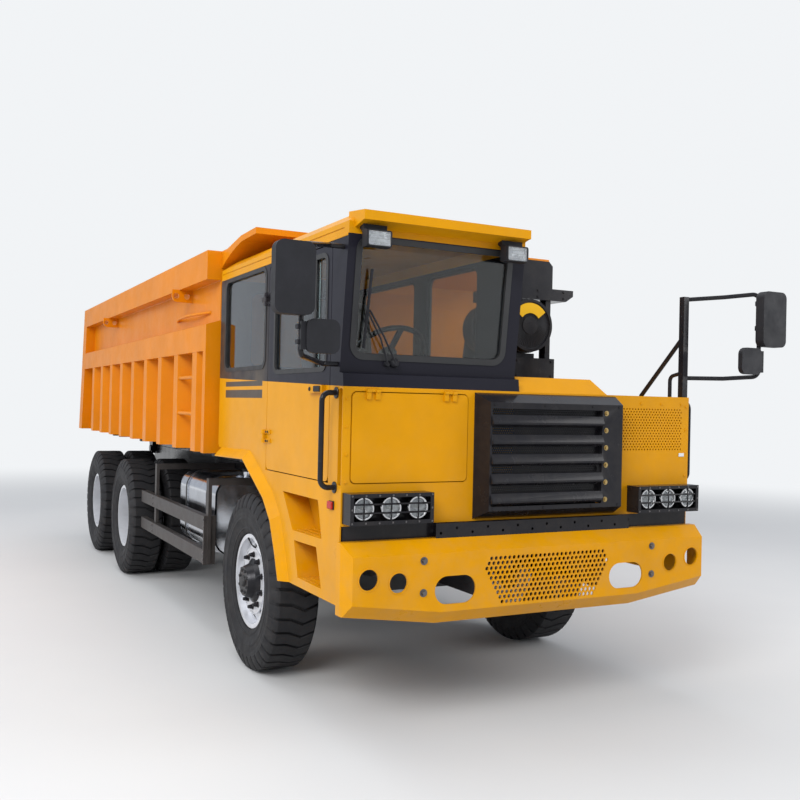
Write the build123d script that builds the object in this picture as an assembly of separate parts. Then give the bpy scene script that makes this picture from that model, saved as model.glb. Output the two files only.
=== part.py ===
"""Rigid mining dump truck with an offset cab, twin rear axles and a ribbed tipping bed.

Millimetres.  X points to the truck's left, Y runs from the front bumper to the tail, Z is up.
Stations along Y are counted from the front face of the bumper, and the last section moves the
whole truck so that its origin is on the ground at the middle of its overall length.
"""
from build123d import *
import math
import os

os.makedirs("parts", exist_ok=True)

# ---------------------------------------------------------------- driving sizes
# wheels: 12.00R20 tyres on ten-stud rims
TYRE_RADIUS = 561
TYRE_WIDTH = 310
RIM_RADIUS = 300
RIM_WIDTH = 240
RIM_SEAT_RADIUS = 284
RIM_WALL = 10
FLANGE_THICKNESS = 8
HUB_RADIUS = 138
DISC_THICKNESS = 12
HAND_HOLES = 10
HAND_HOLE_RADIUS = 26
HAND_HOLE_PITCH_RADIUS = 226
DRUM_RADIUS = 205
DRUM_WALL = 15
FRONT_AXLE_Y = 1644
MID_AXLE_Y = 5317
REAR_AXLE_Y = 6841
FRONT_TYRE_X = 1000
TWIN_OUTER_X = 1085
TWIN_SPACING = 340
FRONT_DISC_OFFSET = 85
KINGPIN_X = 820
KINGPIN_RADIUS = 25
SPINDLE_RADIUS = 50
JOURNAL_RADIUS = 60

# chassis
RAIL_OUTER_X = 425
RAIL_FLANGE = 80
RAIL_BOTTOM = 720
RAIL_TOP = 1020
RAIL_WALL = 10
RAIL_FRONT_Y = 140
RAIL_REAR_Y = 7500
SUBFRAME_HEIGHT = 140
SUBFRAME_FRONT_Y = 2450
SUBFRAME_REAR_Y = 7380
CROSSMEMBER_WIDTH = 100

# front end
BODY_X = 1163
BODY_BOTTOM = 700
FASCIA_Y = 139
SHEET = 8
FASCIA_BOTTOM = 1100
DECK_Z = 1800
BUMPER_X = 1153
BUMPER_FLARE = 28
BUMPER_DEPTH = 138
BUMPER_BEND_Y = 90
BUMPER_FACE_TOP = 964
BUMPER_TOP = 1025
BUMPER_FACE_BOTTOM = 660
BUMPER_TUCK = 70
BUMPER_END_RISE = 73
BUMPER_FLAT_X = 650
BUMPER_PLATE = 10
TOW_SLOT_X = 567
TOW_SLOT_Z = 770
TOW_SLOT_LENGTH = 245
TOW_SLOT_HEIGHT = 145

# cab
CAB_LEFT_X = -100
CAB_REAR_Y = 2275
CAB_WALL = 35
CAB_BOTTOM = 1304
CAB_FLOOR_TOP = 1450
CAB_FLOOR_BOTTOM = 1410
SCREEN_FOOT_Y = 190
SCREEN_FOOT_Z = 1875
SCREEN_HEAD_Y = 110
ROOF_Z = 2568
ROOF_EDGE_Z = 2630
ROOF_CROWN_Z = 2690
ROOF_CHAMFER = 80
VISOR_Y = 0
DOOR_FRONT_Y = 307
DOOR_REAR_Y = 1275
DOOR_TOP = 2545
DOOR_GAP = 6
GLASS = 8

# tipping bed
BED_FRONT_Y = 2330
BED_PLATE_X = 1153
BED_RIB_X = 1255
BED_PLATE = 10
BED_BOTTOM = 1345
BED_TOP = 2780
BED_REAR_TOP_Y = 7730
BED_REAR_BOTTOM_Y = 7978
TOP_RAIL_BOTTOM = 2575
MID_RAIL_BOTTOM = 2070
MID_RAIL_TOP = 2256
RIB_COUNT = 9
RIB_FIRST_Y = 2620
RIB_PITCH = 548
RIB_FOOT = 200
RIB_FACE = 120
BED_CLEARANCE = 5
PIVOT_Y = 7450
PIVOT_Z = 1120
PIVOT_RADIUS = 40
GATE_HINGE_Y = 7690
GATE_HINGE_Z = 2735
GATE_PIN_RADIUS = 20
GATE_DEPTH = 70

# hoist
HOIST_FOOT_Y = 4800
HOIST_FOOT_Z = 820
HOIST_HEAD_Y = 6100
HOIST_HEAD_Z = 1240
HOIST_PIN_RADIUS = 30
BARREL_RADIUS = 90
ROD_RADIUS = 45

# running clearances
FIT = 0.3
SEAT = 0.3

AXLE_Z = TYRE_RADIUS
MIRROR_FRONT_Y = -170


# ---------------------------------------------------------------- helpers
def block(x0, x1, y0, y1, z0, z1):
    """A plain block between two corners."""
    centre = Pos((x0 + x1) / 2, (y0 + y1) / 2, (z0 + z1) / 2)
    return centre * Box(abs(x1 - x0), abs(y1 - y0), abs(z1 - z0))


def along_x(points, x0, x1):
    """A prism along X; points are (y, z)."""
    plane = Plane((min(x0, x1), 0, 0), x_dir=(0, 1, 0), z_dir=(1, 0, 0))
    return extrude(plane * make_face(Polyline(*points, close=True)), amount=abs(x1 - x0), dir=(1, 0, 0))


def along_y(points, y0, y1):
    """A prism along Y; points are (x, z)."""
    plane = Plane((0, max(y0, y1), 0), x_dir=(1, 0, 0), z_dir=(0, -1, 0))
    return extrude(plane * make_face(Polyline(*points, close=True)), amount=abs(y1 - y0), dir=(0, -1, 0))


def along_z(points, z0, z1):
    """A prism along Z; points are (x, y)."""
    plane = Plane((0, 0, min(z0, z1)))
    return extrude(plane * make_face(Polyline(*points, close=True)), amount=abs(z1 - z0), dir=(0, 0, 1))


def rod(start, end, radius):
    """A round bar between two points."""
    first = Vector(*start)
    way = Vector(*end) - first
    return extrude(Plane(first, z_dir=way) * Circle(radius), amount=way.length)


def tube_run(points, radius):
    """A bent round tube along straight runs joined by bends."""
    path = FilletPolyline(*points, radius=3 * radius)
    start = Plane(Vector(*points[0]), z_dir=Vector(*points[1]) - Vector(*points[0]))
    return sweep(start * Circle(radius), path=path)


def rounded_window(y0, y1, z0, z1, radius, x0, x1):
    """A block through a side wall with rounded corners in side view."""
    face = Plane((x0, 0, 0), x_dir=(0, 1, 0), z_dir=(1, 0, 0)) * Pos((y0 + y1) / 2, (z0 + z1) / 2)
    return extrude(face * RectangleRounded(y1 - y0, z1 - z0, radius), amount=x1 - x0, dir=(1, 0, 0))


def rounded_front(x0, x1, z0, z1, radius, y0, y1):
    """A block through a front wall with rounded corners in front view."""
    face = Plane((0, y1, 0), x_dir=(1, 0, 0), z_dir=(0, -1, 0)) * Pos((x0 + x1) / 2, (z0 + z1) / 2)
    return extrude(face * RectangleRounded(x1 - x0, z1 - z0, radius), amount=y1 - y0, dir=(0, -1, 0))


def turned(points):
    """A ring about the X axis; points are (x, radius)."""
    return revolve(make_face(Polyline(*points, close=True)), Axis.X)


def other_side(shape):
    """The same shape on the other side of the truck."""
    return mirror(shape, about=Plane.YZ)


def both_sides(shape):
    """The shape and its mirror image."""
    return Compound(shape.solids() + other_side(shape).solids())


def group(*shapes):
    """Separate solids that share one node."""
    return Compound([solid for shape in shapes for solid in shape.solids()])


nodes = {}


# ---------------------------------------------------------------- wheels
def tyre():
    """One tyre about its own centre, axle along X."""
    bead = RIM_WIDTH / 2 - FLANGE_THICKNESS - SEAT
    side = TYRE_WIDTH / 2
    half = [(bead, RIM_SEAT_RADIUS + SEAT), (bead, RIM_RADIUS + 3), (side, 400), (side, 480),
            (125, TYRE_RADIUS)]
    return turned([(-x, r) for x, r in half] + list(reversed(half)))


def rim_ring():
    """The rim's seat and its two flanges."""
    edge = RIM_WIDTH / 2
    lip = edge - FLANGE_THICKNESS
    inner = RIM_SEAT_RADIUS - RIM_WALL
    return turned([
        (-edge, inner), (-edge, RIM_RADIUS), (-lip, RIM_RADIUS), (-lip, RIM_SEAT_RADIUS),
        (lip, RIM_SEAT_RADIUS), (lip, RIM_RADIUS), (edge, RIM_RADIUS), (edge, inner),
    ])


def disc(face, foot, holes=0):
    """The dished disc, from its bolting face at x = face to the rim's seat at x = foot."""
    seat = RIM_SEAT_RADIUS - RIM_WALL / 2
    plate = turned([
        (face, HUB_RADIUS - 10), (face + DISC_THICKNESS, HUB_RADIUS - 10),
        (face + DISC_THICKNESS, 205), (foot + DISC_THICKNESS, seat), (foot, seat), (face, 205),
    ])
    for index in range(holes):
        angle = 2 * math.pi * (index + 0.5) / holes
        y = HAND_HOLE_PITCH_RADIUS * math.cos(angle)
        z = HAND_HOLE_PITCH_RADIUS * math.sin(angle)
        plate = plate - rod((face - 90, y, z), (face + 110, y, z), HAND_HOLE_RADIUS)
    return plate


def brake_drum(mouth, back, bore):
    """The drum behind the disc, open towards the axle at x = mouth."""
    inner = DRUM_RADIUS - DRUM_WALL
    return turned([
        (mouth, inner), (mouth, DRUM_RADIUS), (back, DRUM_RADIUS), (back, bore),
        (back - DRUM_WALL, bore), (back - DRUM_WALL, inner),
    ])


def front_rim():
    """Front rim, hub and drum about the tyre's centre, outboard along +X."""
    bore = SPINDLE_RADIUS + FIT
    hub = turned([
        (-60, bore), (-60, 95), (FRONT_DISC_OFFSET - 20, 95), (FRONT_DISC_OFFSET - 20, HUB_RADIUS),
        (FRONT_DISC_OFFSET + DISC_THICKNESS, HUB_RADIUS), (120, 112), (150, 100), (165, 92), (165, 0),
            (60, 0),
        (60, bore),
    ])
    drum = brake_drum(-140, FRONT_DISC_OFFSET - 20, 90)
    return rim_ring() + disc(FRONT_DISC_OFFSET, 48, HAND_HOLES) + hub + drum


def twin_rim():
    """The two rear rims, hub and drum about the outer tyre's centre, outboard along +X."""
    face = -TWIN_SPACING / 2
    bore = JOURNAL_RADIUS + FIT
    outer = rim_ring() + disc(face, -104)
    inner = Pos(-TWIN_SPACING, 0, 0) * mirror(rim_ring() + disc(face, -104), about=Plane.YZ)
    hub = turned([
        (face - 150, bore), (face - 150, 100), (face - 20, 100), (face - 20, HUB_RADIUS),
            (face + 40, HUB_RADIUS),
        (face + 60, 118), (face + 175, 108), (face + 200, 70), (face + 200, 0), (face, 0), (face, bore),
    ])
    drum = brake_drum(face - 190, face - 12, 95)
    return outer + inner + hub + drum


front_tyre = tyre()
front_hub_rim = front_rim()
rear_rims = twin_rim()
rear_tyres = Compound([tyre(), Pos(-TWIN_SPACING, 0, 0) * tyre()])

for name, tyres, rims, x, y in (
    ("front", front_tyre, front_hub_rim, FRONT_TYRE_X, FRONT_AXLE_Y),
    ("mid", rear_tyres, rear_rims, TWIN_OUTER_X, MID_AXLE_Y),
    ("rear", rear_tyres, rear_rims, TWIN_OUTER_X, REAR_AXLE_Y),
):
    place = Pos(x, y, AXLE_Z)
    nodes["tyre_" + name + "_left"] = place * tyres
    nodes["rim_" + name + "_left"] = place * rims
    nodes["tyre_" + name + "_right"] = other_side(place * tyres)
    nodes["rim_" + name + "_right"] = other_side(place * rims)


# ---------------------------------------------------------------- steering and front axle
AXLE_EYE_HALF = 75
AXLE_EYE_RADIUS = 60
BEAM_DROP = 70
BEAM_HEIGHT = 110
BEAM_WIDTH = 100


def front_axle():
    """Dropped beam with an eye for each kingpin."""
    top = AXLE_Z + BEAM_HEIGHT / 2
    low = AXLE_Z - BEAM_HEIGHT / 2
    beam = along_y(
        [
            (-KINGPIN_X, low), (-600, low), (-480, low - BEAM_DROP), (480, low - BEAM_DROP), (600, low),
            (KINGPIN_X, low), (KINGPIN_X, top), (600, top), (480, top - BEAM_DROP), (-480, top - BEAM_DROP),
            (-600, top), (-KINGPIN_X, top),
        ],
        FRONT_AXLE_Y - BEAM_WIDTH / 2, FRONT_AXLE_Y + BEAM_WIDTH / 2,
    )
    for side in (-1, 1):
        x = side * KINGPIN_X
        low_end = (x, FRONT_AXLE_Y, AXLE_Z - AXLE_EYE_HALF)
        high_end = (x, FRONT_AXLE_Y, AXLE_Z + AXLE_EYE_HALF)
        beam = beam + rod(low_end, high_end, AXLE_EYE_RADIUS)
        beam = beam - rod(low_end, high_end, KINGPIN_RADIUS + FIT)
        pad_x = side * (RAIL_OUTER_X - RAIL_FLANGE / 2)
        pad_top = top - BEAM_DROP + 30
        beam = beam + block(pad_x - 50, pad_x + 50, FRONT_AXLE_Y - 90, FRONT_AXLE_Y + 90,
                            top - BEAM_DROP - 20, pad_top)
    return beam


def knuckle():
    """The left steering knuckle: kingpin, two ears, plate and spindle."""
    ear = AXLE_EYE_HALF + 8
    body = rod((KINGPIN_X, FRONT_AXLE_Y, AXLE_Z - ear - 50), (KINGPIN_X, FRONT_AXLE_Y, AXLE_Z + ear + 50),
               KINGPIN_RADIUS)
    plate_x = KINGPIN_X + AXLE_EYE_RADIUS + 8
    for low in (AXLE_Z - ear - 45, AXLE_Z + ear):
        body = body + rod((KINGPIN_X, FRONT_AXLE_Y, low), (KINGPIN_X, FRONT_AXLE_Y, low + 45), 52)
        body = body + block(KINGPIN_X, plate_x + 10, FRONT_AXLE_Y - 50, FRONT_AXLE_Y + 50, low, low + 45)
    body = body + block(
        plate_x, plate_x + 32, FRONT_AXLE_Y - 60, FRONT_AXLE_Y + 60, AXLE_Z - ear - 45, AXLE_Z + ear + 45
    )
    tip = FRONT_TYRE_X + 50
    return body + rod((plate_x + 20, FRONT_AXLE_Y, AXLE_Z), (tip, FRONT_AXLE_Y, AXLE_Z), SPINDLE_RADIUS)


nodes["front_axle"] = front_axle()
nodes["knuckle_left"] = knuckle()
nodes["knuckle_right"] = other_side(nodes["knuckle_left"])


# ---------------------------------------------------------------- rear axles
def rear_axle(y):
    """One drive axle: tube, differential and a journal at each end."""
    tube_x = 700
    journal_x = TWIN_OUTER_X - TWIN_SPACING / 2 - 12
    axle = rod((-tube_x, y, AXLE_Z), (tube_x, y, AXLE_Z), 78)
    axle = axle + rod((-journal_x, y, AXLE_Z), (journal_x, y, AXLE_Z), JOURNAL_RADIUS)
    bowl = turned([(-260, 0), (-260, 95), (-110, 205), (110, 205), (260, 95), (260, 0)])
    axle = axle + Pos(0, y, AXLE_Z) * bowl
    axle = axle + rod((0, y - 300, AXLE_Z + 40), (0, y, AXLE_Z + 40), 85)
    for side in (-1, 1):
        axle = axle + block(side * 440, side * 550, y - 70, y + 70, AXLE_Z, AXLE_Z + 100)
    return axle


nodes["rear_axles"] = Compound([rear_axle(MID_AXLE_Y), rear_axle(REAR_AXLE_Y)])


# ---------------------------------------------------------------- leaf springs
def leaf(y, z, half, sag, thickness, x0, x1):
    """One leaf: a shallow arc, its ends raised (or lowered) by sag."""
    top = ThreePointArc((y - half, z + sag + thickness), (y, z + thickness), (y + half, z + sag + thickness))
    low = ThreePointArc((y - half, z + sag), (y, z), (y + half, z + sag))
    ends = [Line((y - half, z + sag), (y - half, z + sag + thickness))]
    ends.append(Line((y + half, z + sag), (y + half, z + sag + thickness)))
    face = Plane((x0, 0, 0), x_dir=(0, 1, 0), z_dir=(1, 0, 0)) * make_face([top, low] + ends)
    return extrude(face, amount=x1 - x0, dir=(1, 0, 0))


LEAF = 12
FRONT_CAMBER = 75
SPRING_SEAT_DROP = 1.5
TRUNNION_Y = (MID_AXLE_Y + REAR_AXLE_Y) / 2
REAR_SPRING_Z = 765
AXLE_PAD_Z = AXLE_Z + 100
FRONT_SPRING_Z = AXLE_Z + BEAM_HEIGHT / 2 - BEAM_DROP + 30


def spring_packs():
    """Front packs under the rails and rear packs from axle to axle, as stacked leaves."""
    front = None
    reach = 700
    for index in range(4):
        half = reach * (4 - index) / 4 + 40
        sag = FRONT_CAMBER * (half / (reach + 40)) ** 2
        piece = leaf(FRONT_AXLE_Y, FRONT_SPRING_Z + SEAT + (3 - index) * LEAF, half, sag, LEAF,
                     RAIL_OUTER_X - RAIL_FLANGE, RAIL_OUTER_X)
        front = piece if front is None else front + piece
    rear = None
    span = (REAR_AXLE_Y - MID_AXLE_Y) / 2
    for index in range(5):
        half = span + 60 - index * 140
        sag = -(REAR_SPRING_Z - AXLE_PAD_Z - SEAT) * (half / (span + 60)) ** 2
        piece = leaf(TRUNNION_Y, REAR_SPRING_Z + index * LEAF * 1.6, half, sag, LEAF * 1.6, 450, 540)
        rear = piece if rear is None else rear + piece
    return group(both_sides(front), both_sides(rear))


nodes["leaf_springs"] = spring_packs()


# ---------------------------------------------------------------- chassis
CROSS_YS = (2500, 3400, 4250, 7050)


def chassis_frame():
    """Two channel rails, cross-members, sub-frame, pivot brackets and hoist bracket."""
    inner = RAIL_OUTER_X - RAIL_FLANGE
    web = RAIL_OUTER_X - RAIL_WALL
    channel = [
        (inner, RAIL_BOTTOM), (RAIL_OUTER_X, RAIL_BOTTOM), (RAIL_OUTER_X, RAIL_TOP), (inner, RAIL_TOP),
        (inner, RAIL_TOP - RAIL_WALL), (web, RAIL_TOP - RAIL_WALL), (web, RAIL_BOTTOM + RAIL_WALL),
        (inner, RAIL_BOTTOM + RAIL_WALL),
    ]
    rail = along_y(channel, RAIL_FRONT_Y, RAIL_REAR_Y)
    rail = rail + block(inner, RAIL_OUTER_X, BUMPER_PLATE + SEAT, RAIL_FRONT_Y + 20, RAIL_BOTTOM, 940)
    sub_top = RAIL_TOP + SUBFRAME_HEIGHT
    rail = rail + block(inner, RAIL_OUTER_X, SUBFRAME_FRONT_Y, SUBFRAME_REAR_Y, RAIL_TOP, sub_top)
    bracket = along_x(
        [(PIVOT_Y - 90, RAIL_TOP), (PIVOT_Y + 50, RAIL_TOP), (PIVOT_Y + 50, PIVOT_Z),
         (PIVOT_Y + 25, PIVOT_Z + 55),
         (PIVOT_Y - 25, PIVOT_Z + 55), (PIVOT_Y - 55, PIVOT_Z)],
        inner, RAIL_OUTER_X,
    )
    rail = rail + bracket
    # trunnion bracket of the rear springs, clamped round the pack's middle
    rail = rail + block(web, 560, TRUNNION_Y - 90, TRUNNION_Y + 90, 660,
                        REAR_SPRING_Z - SPRING_SEAT_DROP - SEAT)
    rail = rail + block(web, 444, TRUNNION_Y - 90, TRUNNION_Y + 90, 660, 960)
    # hangers of the front springs
    for y in (FRONT_AXLE_Y - 700, FRONT_AXLE_Y + 700):
        rail = rail + block(inner, RAIL_OUTER_X, y - 45, y + 45,
                            FRONT_SPRING_Z + FRONT_CAMBER + 4 * LEAF + 2 * SEAT, RAIL_BOTTOM)
    frame = rail + other_side(rail)
    for y in CROSS_YS:
        frame = frame + block(-web, web, y - CROSSMEMBER_WIDTH / 2, y + CROSSMEMBER_WIDTH / 2, 800, 1000)
    frame = frame + block(-web, web, HOIST_FOOT_Y - 60, HOIST_FOOT_Y + 60, RAIL_BOTTOM, RAIL_BOTTOM + 30)
    for side in (-1, 1):
        x0 = side * 55
        x1 = side * 75
        cheek = along_x(
            [(HOIST_FOOT_Y - 60, RAIL_BOTTOM + 30), (HOIST_FOOT_Y + 60, RAIL_BOTTOM + 30),
             (HOIST_FOOT_Y + 45, HOIST_FOOT_Z + 50), (HOIST_FOOT_Y - 45, HOIST_FOOT_Z + 50)],
            x0, x1,
        )
        frame = frame + cheek
    frame = frame + rod((-90, HOIST_FOOT_Y, HOIST_FOOT_Z), (90, HOIST_FOOT_Y, HOIST_FOOT_Z), HOIST_PIN_RADIUS)
    frame = frame + rod((-495, PIVOT_Y, PIVOT_Z), (495, PIVOT_Y, PIVOT_Z), PIVOT_RADIUS)
    frame = frame + rod((-web, TRUNNION_Y, 700), (web, TRUNNION_Y, 700), 60)
    # front cross-member between the bumper and the nose
    frame = frame + block(-1150, 1150, FASCIA_Y, FASCIA_Y + 80, RAIL_TOP, FASCIA_BOTTOM)
    return frame


nodes["chassis_frame"] = chassis_frame()


# ---------------------------------------------------------------- bumper
def bumper_section(rise, inset):
    """Side view of the bumper: upright face, slanted brow above, tucked-in chin below."""
    cut = inset * 0.5
    return [
        (inset, BUMPER_FACE_BOTTOM + rise + cut), (inset, BUMPER_FACE_TOP - cut),
        (BUMPER_BEND_Y + cut, BUMPER_TOP - inset), (BUMPER_DEPTH + 1.1 * inset, BUMPER_TOP - inset),
        (BUMPER_DEPTH + 1.1 * inset, BUMPER_FACE_BOTTOM - BUMPER_TUCK + rise + inset),
        (BUMPER_TUCK + cut, BUMPER_FACE_BOTTOM - BUMPER_TUCK + rise + inset),
    ]


def bumper_body(inset):
    """The bumper's outer form, or the space inside its plates."""
    end = BUMPER_X + BUMPER_FLARE - inset
    body = along_x(bumper_section(0, inset), -BUMPER_FLAT_X, BUMPER_FLAT_X)
    for side in (-1, 1):
        faces = []
        for x, rise in ((BUMPER_FLAT_X, 0), (end, BUMPER_END_RISE)):
            plane = Plane((side * x, 0, 0), x_dir=(0, 1, 0), z_dir=(1, 0, 0))
            faces.append(plane * make_face(Polyline(*bumper_section(rise, inset), close=True)))
        body = body + loft(faces, ruled=True)
    for side in (-1, 1):
        face_x = side * (BUMPER_X - inset)
        edge_x = side * end
        far = side * (BUMPER_X + 200)
        wedge = along_z([(face_x, -20), (face_x, 0), (edge_x, BUMPER_BEND_Y), (far, BUMPER_BEND_Y),
                         (far, -20)], 500, 1100)
        body = body - wedge
    return body


def front_bumper():
    """Folded plate bumper with two tow slots and four round holes."""
    body = bumper_body(0) - bumper_body(BUMPER_PLATE)
    for side in (-1, 1):
        centre = Plane((side * TOW_SLOT_X, 60, TOW_SLOT_Z), x_dir=(1, 0, 0), z_dir=(0, -1, 0))
        slot = extrude(centre * SlotOverall(TOW_SLOT_LENGTH, TOW_SLOT_HEIGHT), amount=120)
        body = body - slot
        for x, z, radius in ((1066, 851, 52), (900, 825, 50)):
            body = body - rod((side * x, -40, z), (side * x, 60, z), radius)
    return body


nodes["front_bumper"] = front_bumper()


# ---------------------------------------------------------------- nose
HATCH_X0 = -1118
HATCH_X1 = -428
HATCH_Z0 = 1311
HATCH_Z1 = 1780
HATCH_GAP = 5
GRILLE_X0 = -388
GRILLE_X1 = 580
GRILLE_Z0 = 1112
GRILLE_Z1 = 1790
GRILLE_FRONT_Y = 30
GRILLE_SIDE_SLOPE = 34
GRILLE_END_SLOPE = 50
GRILLE_SHEET = 6
LOUVRES = 5
LOUVRE_PITCH = 105
LOUVRE_HEIGHT = 65
LOUVRE_DEPTH = 40
LOUVRE_NOSE = 18
GRILLE_COLUMN = 145
LAMP_X0 = 685
LAMP_X1 = 1155
LAMP_Z0 = 1115
LAMP_Z1 = 1270
LAMP_FRONT_Y = 40
LAMP_XS = (770, 924, 1077)
LAMP_Z = 1195
LAMP_RADIUS = 50


HATCH_HINGE_XS = (-1000, -546)
HATCH_HINGE_Y = FASCIA_Y - 12
HATCH_HINGE_Z = HATCH_Z1 + 2
HATCH_PIN_RADIUS = 5
HINGE_HALF = 38


def nose_fascia():
    """The flat front sheet, with the hatch and grille openings and a return at each side."""
    sheet = block(-BODY_X, BODY_X, FASCIA_Y, FASCIA_Y + SHEET, FASCIA_BOTTOM, DECK_Z - SHEET)
    far = FASCIA_Y + 40
    sheet = sheet - rounded_front(HATCH_X0, HATCH_X1, HATCH_Z0, HATCH_Z1, 30, FASCIA_Y - 20, far)
    sheet = sheet - block(GRILLE_X0, GRILLE_X1, FASCIA_Y - 20, far, GRILLE_Z0, GRILLE_Z1)
    for x in HATCH_HINGE_XS:
        sheet = sheet + block(x - 12, x + 12, HATCH_HINGE_Y - 5, FASCIA_Y, HATCH_HINGE_Z - 5,
                              HATCH_HINGE_Z + 10)
        pin_ends = ((x - HINGE_HALF, HATCH_HINGE_Y, HATCH_HINGE_Z),
                    (x + HINGE_HALF, HATCH_HINGE_Y, HATCH_HINGE_Z))
        sheet = sheet + rod(*pin_ends, HATCH_PIN_RADIUS)
    return sheet


def grille_frame(front_y, back_y, shrink):
    """The tapering box of the grille between two stations, shrunk by a wall."""
    faces = []
    for y, side, end in ((front_y, GRILLE_SIDE_SLOPE, GRILLE_END_SLOPE), (back_y, 0, 0)):
        x0 = GRILLE_X0 + side + shrink
        x1 = GRILLE_X1 - side - shrink
        z0 = GRILLE_Z0 + end + shrink
        z1 = GRILLE_Z1 - end - shrink
        plane = Plane((0, y, 0), x_dir=(1, 0, 0), z_dir=(0, -1, 0)) * Pos((x0 + x1) / 2, (z0 + z1) / 2)
        faces.append(plane * Rectangle(x1 - x0, z1 - z0))
    return loft(faces, ruled=True)


def radiator_grille():
    """Tapering box with folded louvre blades, a recessed strip above each blade and a plain column."""
    outer = grille_frame(GRILLE_FRONT_Y, FASCIA_Y, -1)
    inner = grille_frame(GRILLE_FRONT_Y - 0.5, FASCIA_Y + 0.5, GRILLE_SHEET)
    face_x0 = GRILLE_X0 + GRILLE_SIDE_SLOPE
    face_x1 = GRILLE_X1 - GRILLE_SIDE_SLOPE
    face_z0 = GRILLE_Z0 + GRILLE_END_SLOPE
    face_z1 = GRILLE_Z1 - GRILLE_END_SLOPE
    face_back = GRILLE_FRONT_Y + GRILLE_SHEET
    frame = outer - inner
    border = block(face_x0, face_x1, GRILLE_FRONT_Y, face_back, face_z0, face_z1)
    band_x1 = face_x1 - GRILLE_COLUMN
    first = (face_z0 + face_z1 - LOUVRES * LOUVRE_PITCH) / 2
    window_low = first - 4
    window_high = first + LOUVRES * LOUVRE_PITCH - 6
    border = border - block(face_x0 + 12, band_x1, GRILLE_FRONT_Y - 10, face_back + 10, window_low,
                            window_high)
    frame = frame + border
    strip_back = GRILLE_FRONT_Y + LOUVRE_DEPTH
    nose = GRILLE_FRONT_Y - LOUVRE_NOSE
    for index in range(LOUVRES):
        low = first + index * LOUVRE_PITCH
        high = low + LOUVRE_HEIGHT
        blade = along_x(
            [(strip_back, high), (GRILLE_FRONT_Y, high), (nose, low + 26), (nose, low + 16),
             (GRILLE_FRONT_Y + 12, low),
             (strip_back, low)],
            face_x0 + 6, band_x1 + 1,
        )
        strip = block(face_x0 + 6, band_x1 + 1, strip_back - GRILLE_SHEET, strip_back, high - 1,
                      low + LOUVRE_PITCH + 1)
        frame = frame + blade + strip
    for x0 in (face_x0 + 2, band_x1):
        frame = frame + block(x0, x0 + 10, GRILLE_FRONT_Y, strip_back, window_low - 1, window_high + 1)
    return frame


def lamp_boxes():
    """The two boxes that hold three lamps each, open in front, with two guard bars."""
    box_wall = 6
    box = block(LAMP_X0, LAMP_X1, LAMP_FRONT_Y, FASCIA_Y, LAMP_Z0, LAMP_Z1)
    box = box - block(LAMP_X0 + box_wall, LAMP_X1 - box_wall, LAMP_FRONT_Y - 1, LAMP_FRONT_Y + 70,
                      LAMP_Z0 + box_wall, LAMP_Z1 - box_wall)
    for z in (LAMP_Z - 22, LAMP_Z + 22):
        box = box + rod((LAMP_X0 + 2, LAMP_FRONT_Y + 6, z), (LAMP_X1 - 2, LAMP_FRONT_Y + 6, z), 5)
    return both_sides(box)


def front_hatch():
    """The flush hatch beside the grille, hung from its top edge."""
    x0 = HATCH_X0 + HATCH_GAP
    x1 = HATCH_X1 - HATCH_GAP
    lid = rounded_front(x0, x1, HATCH_Z0 + HATCH_GAP, HATCH_Z1 - HATCH_GAP, 26, FASCIA_Y - 4,
                        FASCIA_Y + SHEET - 4)
    for x in HATCH_HINGE_XS:
        for x0, x1 in ((x - HINGE_HALF, x - 13), (x + 13, x + HINGE_HALF)):
            leaf = block(x0, x1, HATCH_HINGE_Y - 4, FASCIA_Y - 4, HATCH_Z1 - 40, HATCH_Z1 - 6)
            eye = rod((x0, HATCH_HINGE_Y, HATCH_HINGE_Z), (x1, HATCH_HINGE_Y, HATCH_HINGE_Z), 10)
            hole = rod((x0 - 1, HATCH_HINGE_Y, HATCH_HINGE_Z), (x1 + 1, HATCH_HINGE_Y, HATCH_HINGE_Z),
                       HATCH_PIN_RADIUS + FIT)
            lid = lid + leaf + eye - hole
    return lid


nodes["nose_fascia"] = nose_fascia()
nodes["radiator_grille"] = radiator_grille()
nodes["lamp_boxes"] = lamp_boxes()
nodes["front_hatch"] = front_hatch()


# ---------------------------------------------------------------- side skirts with steps and wheel arch
ARCH = [(833, BODY_BOTTOM), (905, 870), (1004, 1059), (1150, 1192), (1577, 1408), (2260, 1393)]
LIP_OUT = 47
LIP_IN = 52
LIP_SHEET = 8
STEP_DEPTH = 150
STEP_SHEET = 6
STEPS = (
    # rear top, front top, front bottom, rear bottom, as (y, z)
    ((963, 1203), (435, 1204), (376, 1006), (797, 999)),
    ((771, 946), (448, 954), (368, 747), (704, 748)),
)
SIDE_REAR_Y = 2260
LEFT_WALL_TOP = DECK_Z - SHEET


def arch_face(x, shrink):
    """The arch opening as a face in a side plane, shrunk all round by an offset."""
    floor = 400
    outline = ARCH + [(SIDE_REAR_Y, floor), (ARCH[0][0], floor)]
    plane = Plane((x, 0, 0), x_dir=(0, 1, 0), z_dir=(1, 0, 0))
    face = make_face(Polyline(*outline, close=True))
    if shrink:
        face = offset(face, -shrink, kind=Kind.INTERSECTION)
    return plane * face


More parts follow.
